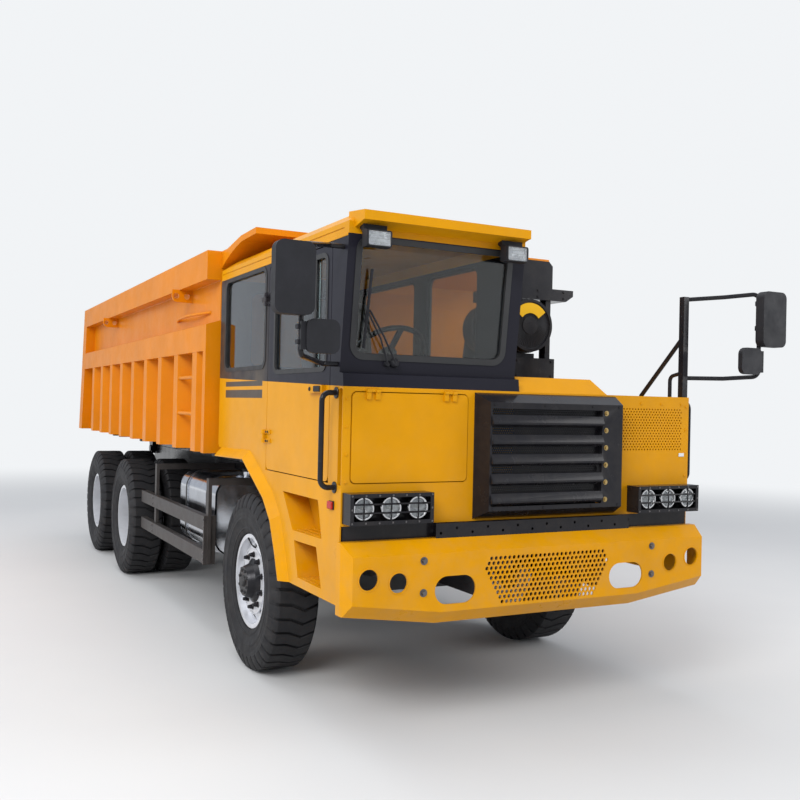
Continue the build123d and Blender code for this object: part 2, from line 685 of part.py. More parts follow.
def arch_lip():
    """The flared lip that runs round the arch, on the truck's left."""
    outer = loft([arch_face(BODY_X, 0), arch_face(BODY_X + LIP_OUT, LIP_IN)], ruled=True)
    inner = loft([arch_face(BODY_X - 0.01, LIP_SHEET),
                  arch_face(BODY_X + LIP_OUT + 0.01, LIP_IN + LIP_SHEET)], ruled=True)
    root = extrude(arch_face(BODY_X - SHEET, 0), amount=SHEET, dir=(1, 0, 0))
    root = root - extrude(arch_face(BODY_X - SHEET, LIP_SHEET), amount=SHEET, dir=(1, 0, 0))
    lip = outer - inner + root
    lip = lip - block(BODY_X - 50, BODY_X + 100, 0, 3000, 0, BODY_BOTTOM)
    lip = lip - block(BODY_X - 50, BODY_X + 100, SIDE_REAR_Y - LIP_IN - LIP_SHEET - 2, 3000, 0, 2000)
    return lip


def side_skirt(top):
    """A side sheet with two step pockets and the wheel arch; top is the upper outline."""
    outline = [(FASCIA_Y + SHEET, BODY_BOTTOM)] + ARCH + top
    skirt = along_x(outline, BODY_X - SHEET, BODY_X)
    for points in STEPS:
        grown = offset(make_face(Polyline(*points, close=True)), STEP_SHEET, kind=Kind.INTERSECTION)
        plane = Plane((BODY_X - STEP_DEPTH, 0, 0), x_dir=(0, 1, 0), z_dir=(1, 0, 0))
        pocket = extrude(plane * grown, amount=STEP_DEPTH - 1, dir=(1, 0, 0))
        skirt = skirt + pocket
        skirt = skirt - along_x(list(points), BODY_X - STEP_DEPTH + STEP_SHEET, BODY_X + 10)
    return skirt + arch_lip()


right_top = [(SIDE_REAR_Y, CAB_FLOOR_BOTTOM), (1577, CAB_FLOOR_BOTTOM), (1345, CAB_BOTTOM),
             (FASCIA_Y + SHEET, CAB_BOTTOM)]
left_top = [(SIDE_REAR_Y, LEFT_WALL_TOP), (FASCIA_Y + SHEET, LEFT_WALL_TOP)]
nodes["fender_right"] = other_side(side_skirt(right_top))
nodes["fender_left"] = side_skirt(left_top)


# ---------------------------------------------------------------- deck, hump, radiator, engine
HUMP_X0 = -90
HUMP_X1 = 530
HUMP_Y0 = 150
HUMP_Y1 = 900
HUMP_TOP = 1890


def front_deck():
    """The flat deck beside the cab with the raised radiator cover."""
    deck = block(CAB_LEFT_X, BODY_X, FASCIA_Y, SIDE_REAR_Y, DECK_Z - SHEET, DECK_Z)
    faces = []
    for z, edge, front in ((DECK_Z - 1, 0, 0), (HUMP_TOP, 40, 110)):
        x0 = HUMP_X0 + edge
        x1 = HUMP_X1 - edge
        y0 = HUMP_Y0 + front
        y1 = HUMP_Y1 - edge
        faces.append(Plane(((x0 + x1) / 2, (y0 + y1) / 2, z)) * Rectangle(x1 - x0, y1 - y0))
    return deck + loft(faces, ruled=True)


nodes["front_deck"] = front_deck()
nodes["radiator"] = block(HUMP_X0 + 10, HUMP_X1 - 30, 200, 300, FASCIA_BOTTOM, DECK_Z - SHEET - SEAT)
ENGINE_X = 300
ENGINE_Z0 = 700
ENGINE_Z1 = 1290
engine = block(-ENGINE_X, ENGINE_X, 750, 1850, ENGINE_Z0, ENGINE_Z1)
mount_x = RAIL_OUTER_X - RAIL_WALL
engine_mounts = block(-mount_x, mount_x, 900, 980, 860, 900) + block(-mount_x, mount_x, 1650, 1730, 860, 900)
gearbox = rod((0, 1850, 950), (0, 2400, 950), 200)
nodes["engine_block"] = engine + engine_mounts + gearbox
nodes["radiator"] = nodes["radiator"] + block(-390, 390, 200, 300, RAIL_TOP + 80, RAIL_TOP + 120)


# ---------------------------------------------------------------- cab
def screen_y(z):
    """Station of the leaning front wall at a height."""
    if z <= SCREEN_FOOT_Z:
        return SCREEN_FOOT_Y
    share = (z - SCREEN_FOOT_Z) / (ROOF_Z - SCREEN_FOOT_Z)
    return SCREEN_FOOT_Y + share * (SCREEN_HEAD_Y - SCREEN_FOOT_Y)


LEAN = math.degrees(math.atan2(SCREEN_FOOT_Y - SCREEN_HEAD_Y, ROOF_Z - SCREEN_FOOT_Z))
CAB_X0 = -BODY_X
CAB_MID_X = (CAB_X0 + CAB_LEFT_X) / 2
SCREEN_X0 = -1100
SCREEN_X1 = -195
SCREEN_Z0 = 1960
SCREEN_Z1 = 2548
SIDE_WINDOW = (1330, 2160, 1931, 2540)
DOOR_WINDOW = (345, 1160, 1875, 2540)
DOOR_SIDE_X0 = 550
REAR_WINDOW = (-950, -330, 1960, 2500)


DOOR_HINGE_ZS = (1509, 2341)
DOOR_PIN_X = CAB_X0 - 17
DOOR_PIN_Y = DOOR_REAR_Y + 6
DOOR_PIN_RADIUS = 8


def screen_block(x0, x1, z0, z1, radius, depth_out, depth_in):
    """A block through the leaning windscreen wall, rounded in front view."""
    low = Vector((x0 + x1) / 2, screen_y(z0), z0)
    high = Vector((x0 + x1) / 2, screen_y(z1), z1)
    up = high - low
    normal = Vector(1, 0, 0).cross(up).normalized()
    plane = Plane((low + high) / 2, x_dir=(1, 0, 0), z_dir=normal)
    plane = plane.offset(-depth_in)
    return extrude(plane * RectangleRounded(x1 - x0, up.length, radius), amount=depth_out + depth_in)


def cab_shell():
    """Hollow cab: leaning front wall, side walls, rear wall and floor, with its openings cut."""
    outer = [
        (SCREEN_FOOT_Y, CAB_BOTTOM), (1345, CAB_BOTTOM), (1577, CAB_FLOOR_BOTTOM),
            (CAB_REAR_Y, CAB_FLOOR_BOTTOM),
        (CAB_REAR_Y, ROOF_Z), (SCREEN_HEAD_Y, ROOF_Z), (SCREEN_FOOT_Y, SCREEN_FOOT_Z),
    ]
    inner = [
        (SCREEN_FOOT_Y + CAB_WALL, CAB_FLOOR_TOP), (CAB_REAR_Y - CAB_WALL, CAB_FLOOR_TOP),
            (CAB_REAR_Y - CAB_WALL, ROOF_Z + 1),
        (SCREEN_HEAD_Y + CAB_WALL, ROOF_Z + 1), (SCREEN_FOOT_Y + CAB_WALL, SCREEN_FOOT_Z),
    ]
    under = [
        (SCREEN_FOOT_Y + CAB_WALL, CAB_BOTTOM - 1), (1345, CAB_BOTTOM - 1), (1577, CAB_FLOOR_BOTTOM - 1),
        (1577, CAB_FLOOR_BOTTOM), (SCREEN_FOOT_Y + CAB_WALL, CAB_FLOOR_BOTTOM),
    ]
    shell = along_x(outer, CAB_X0, CAB_LEFT_X)
    shell = shell - along_x(inner, CAB_X0 + CAB_WALL, CAB_LEFT_X - CAB_WALL)
    shell = shell - along_x(under, CAB_X0 + CAB_WALL, CAB_LEFT_X - CAB_WALL)
    shell = shell - screen_block(SCREEN_X0, SCREEN_X1, SCREEN_Z0, SCREEN_Z1, 60, 60, 90)
    right = (CAB_X0 - 10, CAB_X0 + CAB_WALL + 10)
    left = (CAB_LEFT_X - CAB_WALL - 10, CAB_LEFT_X + 10)
    shell = shell - rounded_window(*SIDE_WINDOW, 60, *right)
    shell = shell - rounded_window(*SIDE_WINDOW, 60, *left)
    shell = shell - rounded_window(DOOR_SIDE_X0, 1160, SIDE_WINDOW[2], SIDE_WINDOW[3], 60, *left)
    shell = shell - rounded_front(REAR_WINDOW[0], REAR_WINDOW[1], REAR_WINDOW[2], REAR_WINDOW[3], 60,
                                  CAB_REAR_Y - CAB_WALL - 10, CAB_REAR_Y + 10)
    shell = shell - rounded_window(DOOR_FRONT_Y, DOOR_REAR_Y, CAB_BOTTOM - 60, DOOR_TOP, 45, *right)
    cowl = along_x(
        [(FASCIA_Y, DECK_Z), (SCREEN_FOOT_Y, DECK_Z), (SCREEN_FOOT_Y, SCREEN_FOOT_Z),
         (FASCIA_Y + 8, SCREEN_FOOT_Z - 6)],
        CAB_X0, CAB_LEFT_X,
    )
    shelf = block(CAB_X0, CAB_LEFT_X, FASCIA_Y, SCREEN_FOOT_Y, DECK_Z - SHEET, DECK_Z)
    shell = shell + cowl + shelf
    for z in DOOR_HINGE_ZS:
        pin = rod((DOOR_PIN_X, DOOR_PIN_Y, z - 40), (DOOR_PIN_X, DOOR_PIN_Y, z + 40), DOOR_PIN_RADIUS)
        leaf = block(DOOR_PIN_X - 6, CAB_X0, DOOR_PIN_Y - 6, DOOR_PIN_Y + 70, z - 13, z + 13)
        shell = shell + pin + leaf
    return shell


def cab_roof():
    """Roof cap with bevelled edges, hollow below, and a visor over the windscreen."""
    rear = CAB_REAR_Y
    mid_y = (SCREEN_HEAD_Y + rear) / 2
    depth = rear - SCREEN_HEAD_Y
    width = CAB_LEFT_X - CAB_X0
    low = block(CAB_X0, CAB_LEFT_X, SCREEN_HEAD_Y, rear, ROOF_Z, ROOF_EDGE_Z)
    faces = []
    for z, inset in ((ROOF_EDGE_Z, 0), (ROOF_CROWN_Z, ROOF_CHAMFER)):
        plane = Plane((CAB_MID_X, mid_y, z))
        faces.append(plane * Rectangle(width - 2 * inset, depth - 2 * inset))
    roof = low + loft(faces, ruled=True)
    roof = roof - block(CAB_X0 + CAB_WALL, CAB_LEFT_X - CAB_WALL, SCREEN_HEAD_Y + CAB_WALL, rear - CAB_WALL,
                        ROOF_Z - 1, ROOF_EDGE_Z + 5)
    visor = along_x(
        [(VISOR_Y, ROOF_EDGE_Z - 8), (VISOR_Y, ROOF_EDGE_Z + 40),
         (SCREEN_HEAD_Y + ROOF_CHAMFER, ROOF_CROWN_Z),
         (SCREEN_HEAD_Y + ROOF_CHAMFER, ROOF_EDGE_Z), (SCREEN_HEAD_Y, ROOF_EDGE_Z - 30),
             (VISOR_Y + 14, ROOF_EDGE_Z - 8)],
        CAB_X0 + 33, CAB_LEFT_X - 40,
    )
    roof = roof + visor
    groove_z = ROOF_Z + 28
    for y0, y1, x0, x1 in (
        (SCREEN_HEAD_Y + 60, rear - 20, CAB_X0 - 5, CAB_X0 + 4),
            (SCREEN_HEAD_Y + 60, rear - 20, CAB_LEFT_X - 4, CAB_LEFT_X + 5),
    ):
        roof = roof - block(x0, x1, y0, y1, groove_z, groove_z + 8)
    return roof


def cab_glass():
    """Windscreen, side panes and rear pane, each filling its opening."""
    middle = CAB_WALL / 2
    panes = [screen_block(SCREEN_X0, SCREEN_X1, SCREEN_Z0, SCREEN_Z1, 60, -12, 12 + GLASS)]
    for x in (CAB_X0 + middle, CAB_LEFT_X - middle):
        panes.append(rounded_window(*SIDE_WINDOW, 60, x - GLASS / 2, x + GLASS / 2))
    x = CAB_LEFT_X - middle
    panes.append(rounded_window(DOOR_SIDE_X0, 1160, SIDE_WINDOW[2], SIDE_WINDOW[3], 60, x - GLASS / 2,
                                x + GLASS / 2))
    y = CAB_REAR_Y - middle
    panes.append(rounded_front(*REAR_WINDOW, 60, y - GLASS / 2, y + GLASS / 2))
    return group(*panes)


def door():
    """Driver's door as thick as the cab wall, with its window cut, and its hinges."""
    x0 = CAB_X0
    x1 = CAB_X0 + CAB_WALL
    panel = rounded_window(DOOR_FRONT_Y + DOOR_GAP, DOOR_REAR_Y - DOOR_GAP, CAB_BOTTOM + DOOR_GAP,
                           DOOR_TOP - DOOR_GAP, 40, x0, x1)
    panel = panel - rounded_window(*DOOR_WINDOW_CUT, 50, x0 - 10, x1 + 10)
    handle = block(x0 - 22, x0, DOOR_FRONT_Y + 60, DOOR_FRONT_Y + 250, 1770, 1812)
    panel = panel + handle
    for z in DOOR_HINGE_ZS:
        for z0, z1 in ((z - 40, z - 15), (z + 15, z + 40)):
            leaf = block(DOOR_PIN_X, x0, DOOR_REAR_Y - 85, DOOR_PIN_Y, z0, z1)
            leaf = leaf - block(DOOR_PIN_X - 1, DOOR_PIN_X + 10, DOOR_REAR_Y - 90, DOOR_PIN_Y - 14, z0 - 1,
                                z1 + 1)
            eye = rod((DOOR_PIN_X, DOOR_PIN_Y, z0), (DOOR_PIN_X, DOOR_PIN_Y, z1), 13)
            hole = rod((DOOR_PIN_X, DOOR_PIN_Y, z0 - 1), (DOOR_PIN_X, DOOR_PIN_Y, z1 + 1),
                       DOOR_PIN_RADIUS + FIT)
            trim = block(x0 - 3, x0 + 1, DOOR_REAR_Y - DOOR_GAP, DOOR_PIN_Y + 20, z0 - 1, z1 + 1)
            panel = panel + (leaf + eye - hole - trim)
    return panel


DOOR_WINDOW_CUT = (DOOR_WINDOW[0] + 25, DOOR_WINDOW[1], DOOR_WINDOW[2] + 20, DOOR_TOP - 50)
QUARTER_BAR_Y = 520


def door_glass():
    """The door's quarter light and main pane, either side of a fixed bar."""
    x = CAB_X0 + CAB_WALL / 2
    pane = rounded_window(*DOOR_WINDOW_CUT, 50, x - GLASS / 2, x + GLASS / 2)
    bar = block(x - 12, x + 12, QUARTER_BAR_Y, QUARTER_BAR_Y + 30, DOOR_WINDOW_CUT[2], DOOR_WINDOW_CUT[3])
    return pane + bar


nodes["cab_shell"] = cab_shell()
nodes["cab_roof"] = cab_roof()
nodes["cab_glass"] = cab_glass()
nodes["door_right"] = door()
nodes["door_glass"] = door_glass()


# ---------------------------------------------------------------- cab inside
SEAT_X = -640
SEAT_Y = 1150
WHEEL_CENTRE = (SEAT_X, 700, 2010)


def seat():
    """Driver's seat: base, cushion, leaning back and head rest."""
    base = block(SEAT_X - 180, SEAT_X + 180, SEAT_Y - 180, SEAT_Y + 180, CAB_FLOOR_TOP + SEAT, 1720)
    cushion = block(SEAT_X - 250, SEAT_X + 250, SEAT_Y - 250, SEAT_Y + 250, 1720, 1830)
    back = along_x([(SEAT_Y + 170, 1800), (SEAT_Y + 290, 1800), (SEAT_Y + 400, 2380), (SEAT_Y + 310, 2400)],
                   SEAT_X - 240, SEAT_X + 240)
    head = along_x([(SEAT_Y + 310, 2395), (SEAT_Y + 395, 2375), (SEAT_Y + 415, 2510), (SEAT_Y + 340, 2525)],
                   SEAT_X - 130, SEAT_X + 130)
    return base + cushion + back + head


def dashboard():
    """Dashboard across the cab with the steering column and wheel."""
    y0 = SCREEN_FOOT_Y + CAB_WALL + SEAT
    x0 = CAB_X0 + CAB_WALL + 5
    x1 = CAB_LEFT_X - CAB_WALL - SEAT
    dash = along_x([(y0, 1560), (y0 + 300, 1620), (y0 + 330, 1860), (y0 + 190, 1945), (y0, 1900)], x0, x1)
    column = rod((SEAT_X, y0 + 250, 1750), WHEEL_CENTRE, 32)
    plane = Plane(WHEEL_CENTRE, z_dir=Vector(*WHEEL_CENTRE) - Vector(SEAT_X, y0 + 250, 1750))
    wheel = plane * Torus(215, 15)
    spokes = plane * Pos(0, 0, -6) * Box(420, 34, 12)
    return dash + column + wheel + spokes


nodes["driver_seat"] = seat()
nodes["dashboard"] = dashboard()


# ---------------------------------------------------------------- lamps, wiper, handles, mirrors
def lamps():
    """Six headlamps, two work lamps under the visor and the side markers."""
    pieces = []
    for side in (-1, 1):
        for x in LAMP_XS:
            pieces.append(rod((side * x, LAMP_FRONT_Y + 18, LAMP_Z), (side * x, LAMP_FRONT_Y + 70, LAMP_Z),
                              LAMP_RADIUS))
        pieces.append(block(side * BODY_X, side * (BODY_X + 16), 225, 275, 1182, 1212))
    for x in (-1043, -221):
        pieces.append(along_x([(8, 2495), (8, 2575), (60, 2588), (60, 2611), (100, 2602), (100, 2590),
                               (72, 2575),
                               (72, 2500)], x - 66, x + 66))
    return group(*pieces)


def grab_handles():
    """Stand-off grab tubes on both front corners."""
    x = BODY_X + 80
    root = BODY_X + SEAT
    tube = tube_run([(root, 220, 1290), (x, 220, 1290), (x, 220, 1770), (root, 220, 1770)], 14)
    return both_sides(tube)


MIRROR_X = 1490
MIRROR_Y = -100


def mirror_arms():
    """Tube arms that carry the mirrors: on the cab's pillar, and on a post at the left corner."""
    root = BODY_X + SEAT
    arm = tube_run([(root, 165, 2505), (1250, 165, 2505), (MIRROR_X, MIRROR_Y, 2450),
                    (MIRROR_X, MIRROR_Y, 1935),
                    (1250, 215, 1915), (root, 215, 1915)], 13)
    post = block(1120, 1160, 150, 190, DECK_Z, 2420)
    brace = rod((1140, 185, 2160), (1140, 540, DECK_Z + 8), 14) - block(1000, 1300, 400, 700, 1700, DECK_Z)
    hoop = tube_run([(1140, 186, 1950), (1140, 280, 1930), (1140, 280, DECK_Z + 3)], 12)
    left_arm = tube_run([(1155, 170, 2405), (1330, 30, 2420), (MIRROR_X, MIRROR_Y, 2440),
                         (MIRROR_X, MIRROR_Y, 1935),
                         (1330, 30, 1920), (1155, 170, 1920)], 13)
    return group(other_side(arm), post + brace + hoop + left_arm)


def mirror_heads():
    """A tall and a small mirror housing on each arm."""
    big = block(1450, 1644, MIRROR_FRONT_Y, MIRROR_Y - 14, 2115, 2450)
    big = fillet(big.edges().filter_by(Axis.Y), 40)
    small = block(1308, 1476, MIRROR_FRONT_Y + 30, MIRROR_Y - 13.3, 1945, 2105)
    small = fillet(small.edges().filter_by(Axis.Y), 40)
    clamp = block(1470, 1510, MIRROR_Y - 14, MIRROR_Y - 13.3, 2200, 2380)
    return both_sides(group(big + clamp, small + block(1466, 1500, MIRROR_FRONT_Y + 40, MIRROR_Y - 13.3, 1960,
                                                       2090)))


nodes["lamps"] = lamps()
nodes["grab_handles"] = grab_handles()
nodes["mirror_arms"] = mirror_arms()
nodes["mirror_heads"] = mirror_heads()


# ---------------------------------------------------------------- air cleaner
CLEANER = (560, 2265)
CLEANER_RADIUS = 175


def air_cleaner():
    """The horizontal drum with its ribbed end cap."""
    x, z = CLEANER
    drum = rod((x, 970, z), (x, 1550, z), CLEANER_RADIUS)
    drum = drum - rod((x, 960, z), (x, 985, z), CLEANER_RADIUS - 18)
    drum = drum + rod((x, 975, z), (x, 990, z), 60)
    for y in (1030, 1480):
        drum = drum + rod((x, y, z), (x, y + 30, z), CLEANER_RADIUS + 8)
    return drum


def intake_frame():
    """The frame that carries the drum: box, post, shelf and the raised intake hood."""
    x, z = CLEANER
    low = z - CLEANER_RADIUS - 8 - SEAT
    box = block(450, 780, 1000, 1500, DECK_Z, 2050)
    cradle = block(480, 640, 1040, 1480, 2050, low)
    post = block(745, 785, 1060, 1130, DECK_Z, 2460)
    back = block(745, 785, 1400, 1470, DECK_Z, 2460)
    shelf = along_y([(430, 2450), (900, 2450), (960, 2490), (960, 2530), (430, 2530)], 1040, 1490)
    hood = along_y([(500, 2530), (500, 2690), (530, 2720), (780, 2720), (810, 2690), (810, 2530)], 1080, 1450)
    return box + cradle + post + back + shelf + hood


nodes["air_cleaner"] = air_cleaner()
nodes["intake_frame"] = intake_frame()


# ---------------------------------------------------------------- tank, battery box, guards
TANK_X0 = 450
TANK_X1 = 1050
TANK_Y0 = 2700
TANK_Y1 = 3720
TANK_Z0 = 550
TANK_Z1 = 1130
TANK_CORNER = 130


def fuel_tank():
    """Polished tank with two straps and a filler, bracketed to the right rail."""
    tank = rounded_front(-TANK_X1, -TANK_X0, TANK_Z0, TANK_Z1, TANK_CORNER, TANK_Y0, TANK_Y1)
    for y in (TANK_Y0 + 180, TANK_Y1 - 240):
        band = rounded_front(-TANK_X1 - 8, -TANK_X0 + 8, TANK_Z0 - 8, TANK_Z1 + 8, TANK_CORNER + 8, y, y + 60)
        tank = tank + band + block(-TANK_X0 - 60, -RAIL_OUTER_X, y, y + 60, 740, 1000)
    return tank + rod((-760, TANK_Y0 + 90, TANK_Z1 - 10), (-760, TANK_Y0 + 90, TANK_Z1 + 60), 45)


def battery_box():
    """Battery box and two air tanks on the left rail."""
    box = block(450, 1000, 2700, 3300, 620, 1080) + block(RAIL_OUTER_X, 460, 2760, 3240, 760, 980)
    air = None
    for z in (700, 960):
        tank = rod((640, 3420, z), (640, 4180, z), 120)
        air = tank if air is None else air + tank
    air = air + block(RAIL_OUTER_X, 600, 3500, 3560, 740, 940) + block(RAIL_OUTER_X, 600, 4020, 4080, 740,
        940)
    return group(box, air + block(610, 670, 3500, 4100, 780, 880))


def side_guards():
    """Two-rail side guard between the axles, on posts with arms to the sub-frame."""
    x1 = 1165
    x0 = 1140
    guard = block(x0, x1, 2590, 4710, 762, 867) + block(x0, x1, 2590, 4710, 522, 620)
    guard = guard + block(x1 - 90, x1, 2590, 2610, 510, 870)
    for y, top in ((2570, 1144), (4230, 1144)):
        guard = guard + block(x0 - 25, x0, y, y + 60, 515, top)
        guard = guard + block(RAIL_OUTER_X, x0, y, y + 60, top - 50, top)
    return both_sides(guard)


nodes["fuel_tank"] = fuel_tank()
nodes["battery_box"] = battery_box()
nodes["side_guards"] = side_guards()


# ---------------------------------------------------------------- tipping bed
def bed_rear_y(z):
    """Station of the slanted tail at a height."""
    share = (BED_TOP - z) / (BED_TOP - BED_BOTTOM)
    return BED_REAR_TOP_Y + share * (BED_REAR_BOTTOM_Y - BED_REAR_TOP_Y)


FLOOR_THICKNESS = 12
WALL_X = BED_PLATE_X - BED_PLATE
CANOPY_SHEET = 8
CANOPY_FRONT_Y = 1586
CANOPY_Z = 2794
LUG_YS = (3120, 6120)
LUG_HOLE_RADIUS = 22.5
LUG_HOLE_XS = (1195, 1279)
LUG_THICKNESS = 20
LUG_BOTTOM = 2480
LUG_X = 1310
LUG_CORNER = 40
RUNG_ZS = (1618, 1888)
RUNG_RADIUS = 14
BOW_Y0 = 2580
BOW_Y1 = 3540
BOW_Z = 2365
BOW_REACH = 62
BOW_RADIUS = 11


def side_bow():
    """The bowed rail that stands out from the upper panel near its front end."""
    root = BED_PLATE_X - 3
    middle = (BED_PLATE_X + BOW_REACH, (BOW_Y0 + BOW_Y1) / 2, BOW_Z)
    path = Edge.make_three_point_arc((root, BOW_Y0, BOW_Z), middle, (root, BOW_Y1, BOW_Z))
    section = Plane(path @ 0, z_dir=path % 0) * Circle(BOW_RADIUS)
    return sweep(section, path)


def bed_side():
    """Left side: plate, ribs below a sloped middle rail, plain panel above, top rail, bow, rungs and lugs."""
    tail = [(BED_FRONT_Y, BED_BOTTOM), (bed_rear_y(BED_BOTTOM), BED_BOTTOM), (bed_rear_y(BED_TOP), BED_TOP),
            (BED_FRONT_Y, BED_TOP)]
    side = along_x(tail, WALL_X, BED_PLATE_X)
    far = BED_REAR_BOTTOM_Y + 20
    trim = along_x([(bed_rear_y(BED_BOTTOM - 100), BED_BOTTOM - 100), (far + 200, BED_BOTTOM - 100),
                    (far + 200, BED_TOP + 100), (bed_rear_y(BED_TOP + 100), BED_TOP + 100)], 1000, 1400)
    rails = along_y([(WALL_X, TOP_RAIL_BOTTOM), (BED_RIB_X, TOP_RAIL_BOTTOM), (BED_RIB_X, BED_TOP),
                     (WALL_X, BED_TOP)],
                    BED_FRONT_Y, far)
    rails = rails + along_y([(BED_PLATE_X - 2, MID_RAIL_BOTTOM), (BED_RIB_X, MID_RAIL_BOTTOM),
                             (BED_RIB_X, MID_RAIL_TOP),
                             (BED_PLATE_X - 2, MID_RAIL_TOP + 34)], BED_FRONT_Y, far)
    side = side + (rails - trim)
    for index in range(RIB_COUNT):
        y = RIB_FIRST_Y + index * RIB_PITCH
        outline = [(BED_PLATE_X - 2, y - RIB_FOOT / 2), (BED_RIB_X, y - RIB_FACE / 2),
                   (BED_RIB_X, y + RIB_FACE / 2),
                   (BED_PLATE_X - 2, y + RIB_FOOT / 2)]
        side = side + along_z(outline, BED_BOTTOM, MID_RAIL_BOTTOM + 5)
    side = side + block(BED_PLATE_X - 2, BED_RIB_X, BED_FRONT_Y, BED_FRONT_Y + 70, BED_BOTTOM, MID_RAIL_BOTTOM + 5)
    side = side + side_bow()
    post = along_x([(bed_rear_y(BED_BOTTOM) - 200, BED_BOTTOM), (bed_rear_y(BED_BOTTOM), BED_BOTTOM),
                    (bed_rear_y(TOP_RAIL_BOTTOM + 5), TOP_RAIL_BOTTOM + 5),
                    (bed_rear_y(TOP_RAIL_BOTTOM + 5) - 200, TOP_RAIL_BOTTOM + 5)],
                   BED_PLATE_X - 2, BED_RIB_X)
    side = side + post
    rung_x = BED_RIB_X - 20
    for z in RUNG_ZS:
        side = side + rod((rung_x, RIB_FIRST_Y, z), (rung_x, RIB_FIRST_Y + RIB_PITCH, z), RUNG_RADIUS)
    for y in LUG_YS:
        c = LUG_CORNER
        outline = [(BED_PLATE_X - 1, LUG_BOTTOM), (LUG_X - c, LUG_BOTTOM), (LUG_X - 0.3 * c, LUG_BOTTOM + 0.3 * c),
                   (LUG_X, LUG_BOTTOM + c), (LUG_X, TOP_RAIL_BOTTOM + 2), (BED_PLATE_X - 1, TOP_RAIL_BOTTOM + 2)]
        lug = along_y(outline, y - LUG_THICKNESS / 2, y + LUG_THICKNESS / 2)
        for x in LUG_HOLE_XS:
            lug = lug - rod((x, y - 50, 2527), (x, y + 50, 2527), LUG_HOLE_RADIUS)
        side = side + lug
    pin = rod((GATE_X - 60, GATE_HINGE_Y, GATE_HINGE_Z), (WALL_X + 2, GATE_HINGE_Y, GATE_HINGE_Z),
              GATE_PIN_RADIUS)
    return side + pin


GATE_X = 1128
GATE_EAR = 24
BED_CROSS_YS = (2560, 3300, 4050, 4560, 6079, 7250, 7640)


CROSS_DEPTH = 80
CROSS_X = 900
SILL_TOP = BED_BOTTOM - CROSS_DEPTH
CHEEK_INNER_X = 58
CHEEK_OUTER_X = 78
SLOT_X = CHEEK_OUTER_X + SEAT


def bed_floor():
    """Floor plate with its cross-members, open over the hoist's head."""
    rear = bed_rear_y(BED_BOTTOM) - 4
    floor = block(-WALL_X, WALL_X, BED_FRONT_Y + BED_PLATE, rear, BED_BOTTOM, BED_BOTTOM + FLOOR_THICKNESS)
    for y in BED_CROSS_YS:
        floor = floor + block(-CROSS_X, CROSS_X, y - 40, y + 40, SILL_TOP, BED_BOTTOM)
    return floor - block(-SLOT_X, SLOT_X, HOIST_HEAD_Y - 120, HOIST_HEAD_Y + 120, SILL_TOP - 1, BED_BOTTOM)


def bed_sills():
    """Two sills under the cross-members, two pivot lugs and the two cheeks of the hoist's head."""
    sub_top = RAIL_TOP + SUBFRAME_HEIGHT
    sill = block(RAIL_OUTER_X - RAIL_FLANGE, RAIL_OUTER_X, BED_FRONT_Y + 20, SUBFRAME_REAR_Y - 20,
                 sub_top + BED_CLEARANCE, SILL_TOP)
    lug_x0 = RAIL_OUTER_X + 8
    lug_x1 = RAIL_OUTER_X + 56
    lug = along_x([(PIVOT_Y - 150, BED_BOTTOM), (PIVOT_Y + 149, BED_BOTTOM), (PIVOT_Y + 60, PIVOT_Z),
                   (PIVOT_Y + 40, PIVOT_Z - 60), (PIVOT_Y - 40, PIVOT_Z - 60), (PIVOT_Y - 60, PIVOT_Z)],
                  lug_x0, lug_x1)
    lug = lug - rod((lug_x0 - 20, PIVOT_Y, PIVOT_Z), (lug_x1 + 20, PIVOT_Y, PIVOT_Z), PIVOT_RADIUS + FIT)
    cheek = along_x([(HOIST_HEAD_Y - 110, BED_BOTTOM), (HOIST_HEAD_Y + 110, BED_BOTTOM),
                     (HOIST_HEAD_Y + 50, HOIST_HEAD_Z - 50), (HOIST_HEAD_Y - 50, HOIST_HEAD_Z - 50)],
                    CHEEK_INNER_X, CHEEK_OUTER_X)
    cheek = cheek - rod((CHEEK_INNER_X - 8, HOIST_HEAD_Y, HOIST_HEAD_Z),
                        (CHEEK_OUTER_X + 12, HOIST_HEAD_Y, HOIST_HEAD_Z), HOIST_PIN_RADIUS)
    return both_sides(group(sill, lug, cheek))


def canopy_line(rise):
    """The canopy's curved run from the front wall to its front edge, raised by a thickness."""
    start = (BED_FRONT_Y, 2655 + rise)
    middle = (2090, 2742 + rise)
    end = (1873, 2786 + rise)
    return [ThreePointArc(start, middle, end), start, end]


def bed_front_wall():
    """Front wall and the rising canopy over the cab, with its cheeks and front flange."""
    wall = block(-WALL_X, WALL_X, BED_FRONT_Y, BED_FRONT_Y + BED_PLATE, BED_BOTTOM, BED_TOP)
    arc, start, end = canopy_line(0)
    lip = CANOPY_Z + 40
    front = (CANOPY_FRONT_Y, CANOPY_Z)
    rim = [end, front, (CANOPY_FRONT_Y, lip), (1900, lip - 8), (2200, BED_TOP), (BED_FRONT_Y, BED_TOP), start]
    plane = Plane((-BED_PLATE_X, 0, 0), x_dir=(0, 1, 0), z_dir=(1, 0, 0))
    tray = extrude(plane * make_face([arc, Polyline(*rim)]), amount=2 * BED_PLATE_X, dir=(1, 0, 0))
    arc, start, end = canopy_line(CANOPY_SHEET)
    inner_front = CANOPY_FRONT_Y + CANOPY_SHEET
    far = BED_FRONT_Y + 5
    rim = [end, (inner_front, CANOPY_Z + CANOPY_SHEET), (inner_front, lip + 50), (far, lip + 50),
           (far, start[1]), start]
    inner_x = WALL_X - CANOPY_SHEET
    plane = Plane((-inner_x, 0, 0), x_dir=(0, 1, 0), z_dir=(1, 0, 0))
    hollow = extrude(plane * make_face([arc, Polyline(*rim)]), amount=2 * inner_x, dir=(1, 0, 0))
    return wall + (tray - hollow)


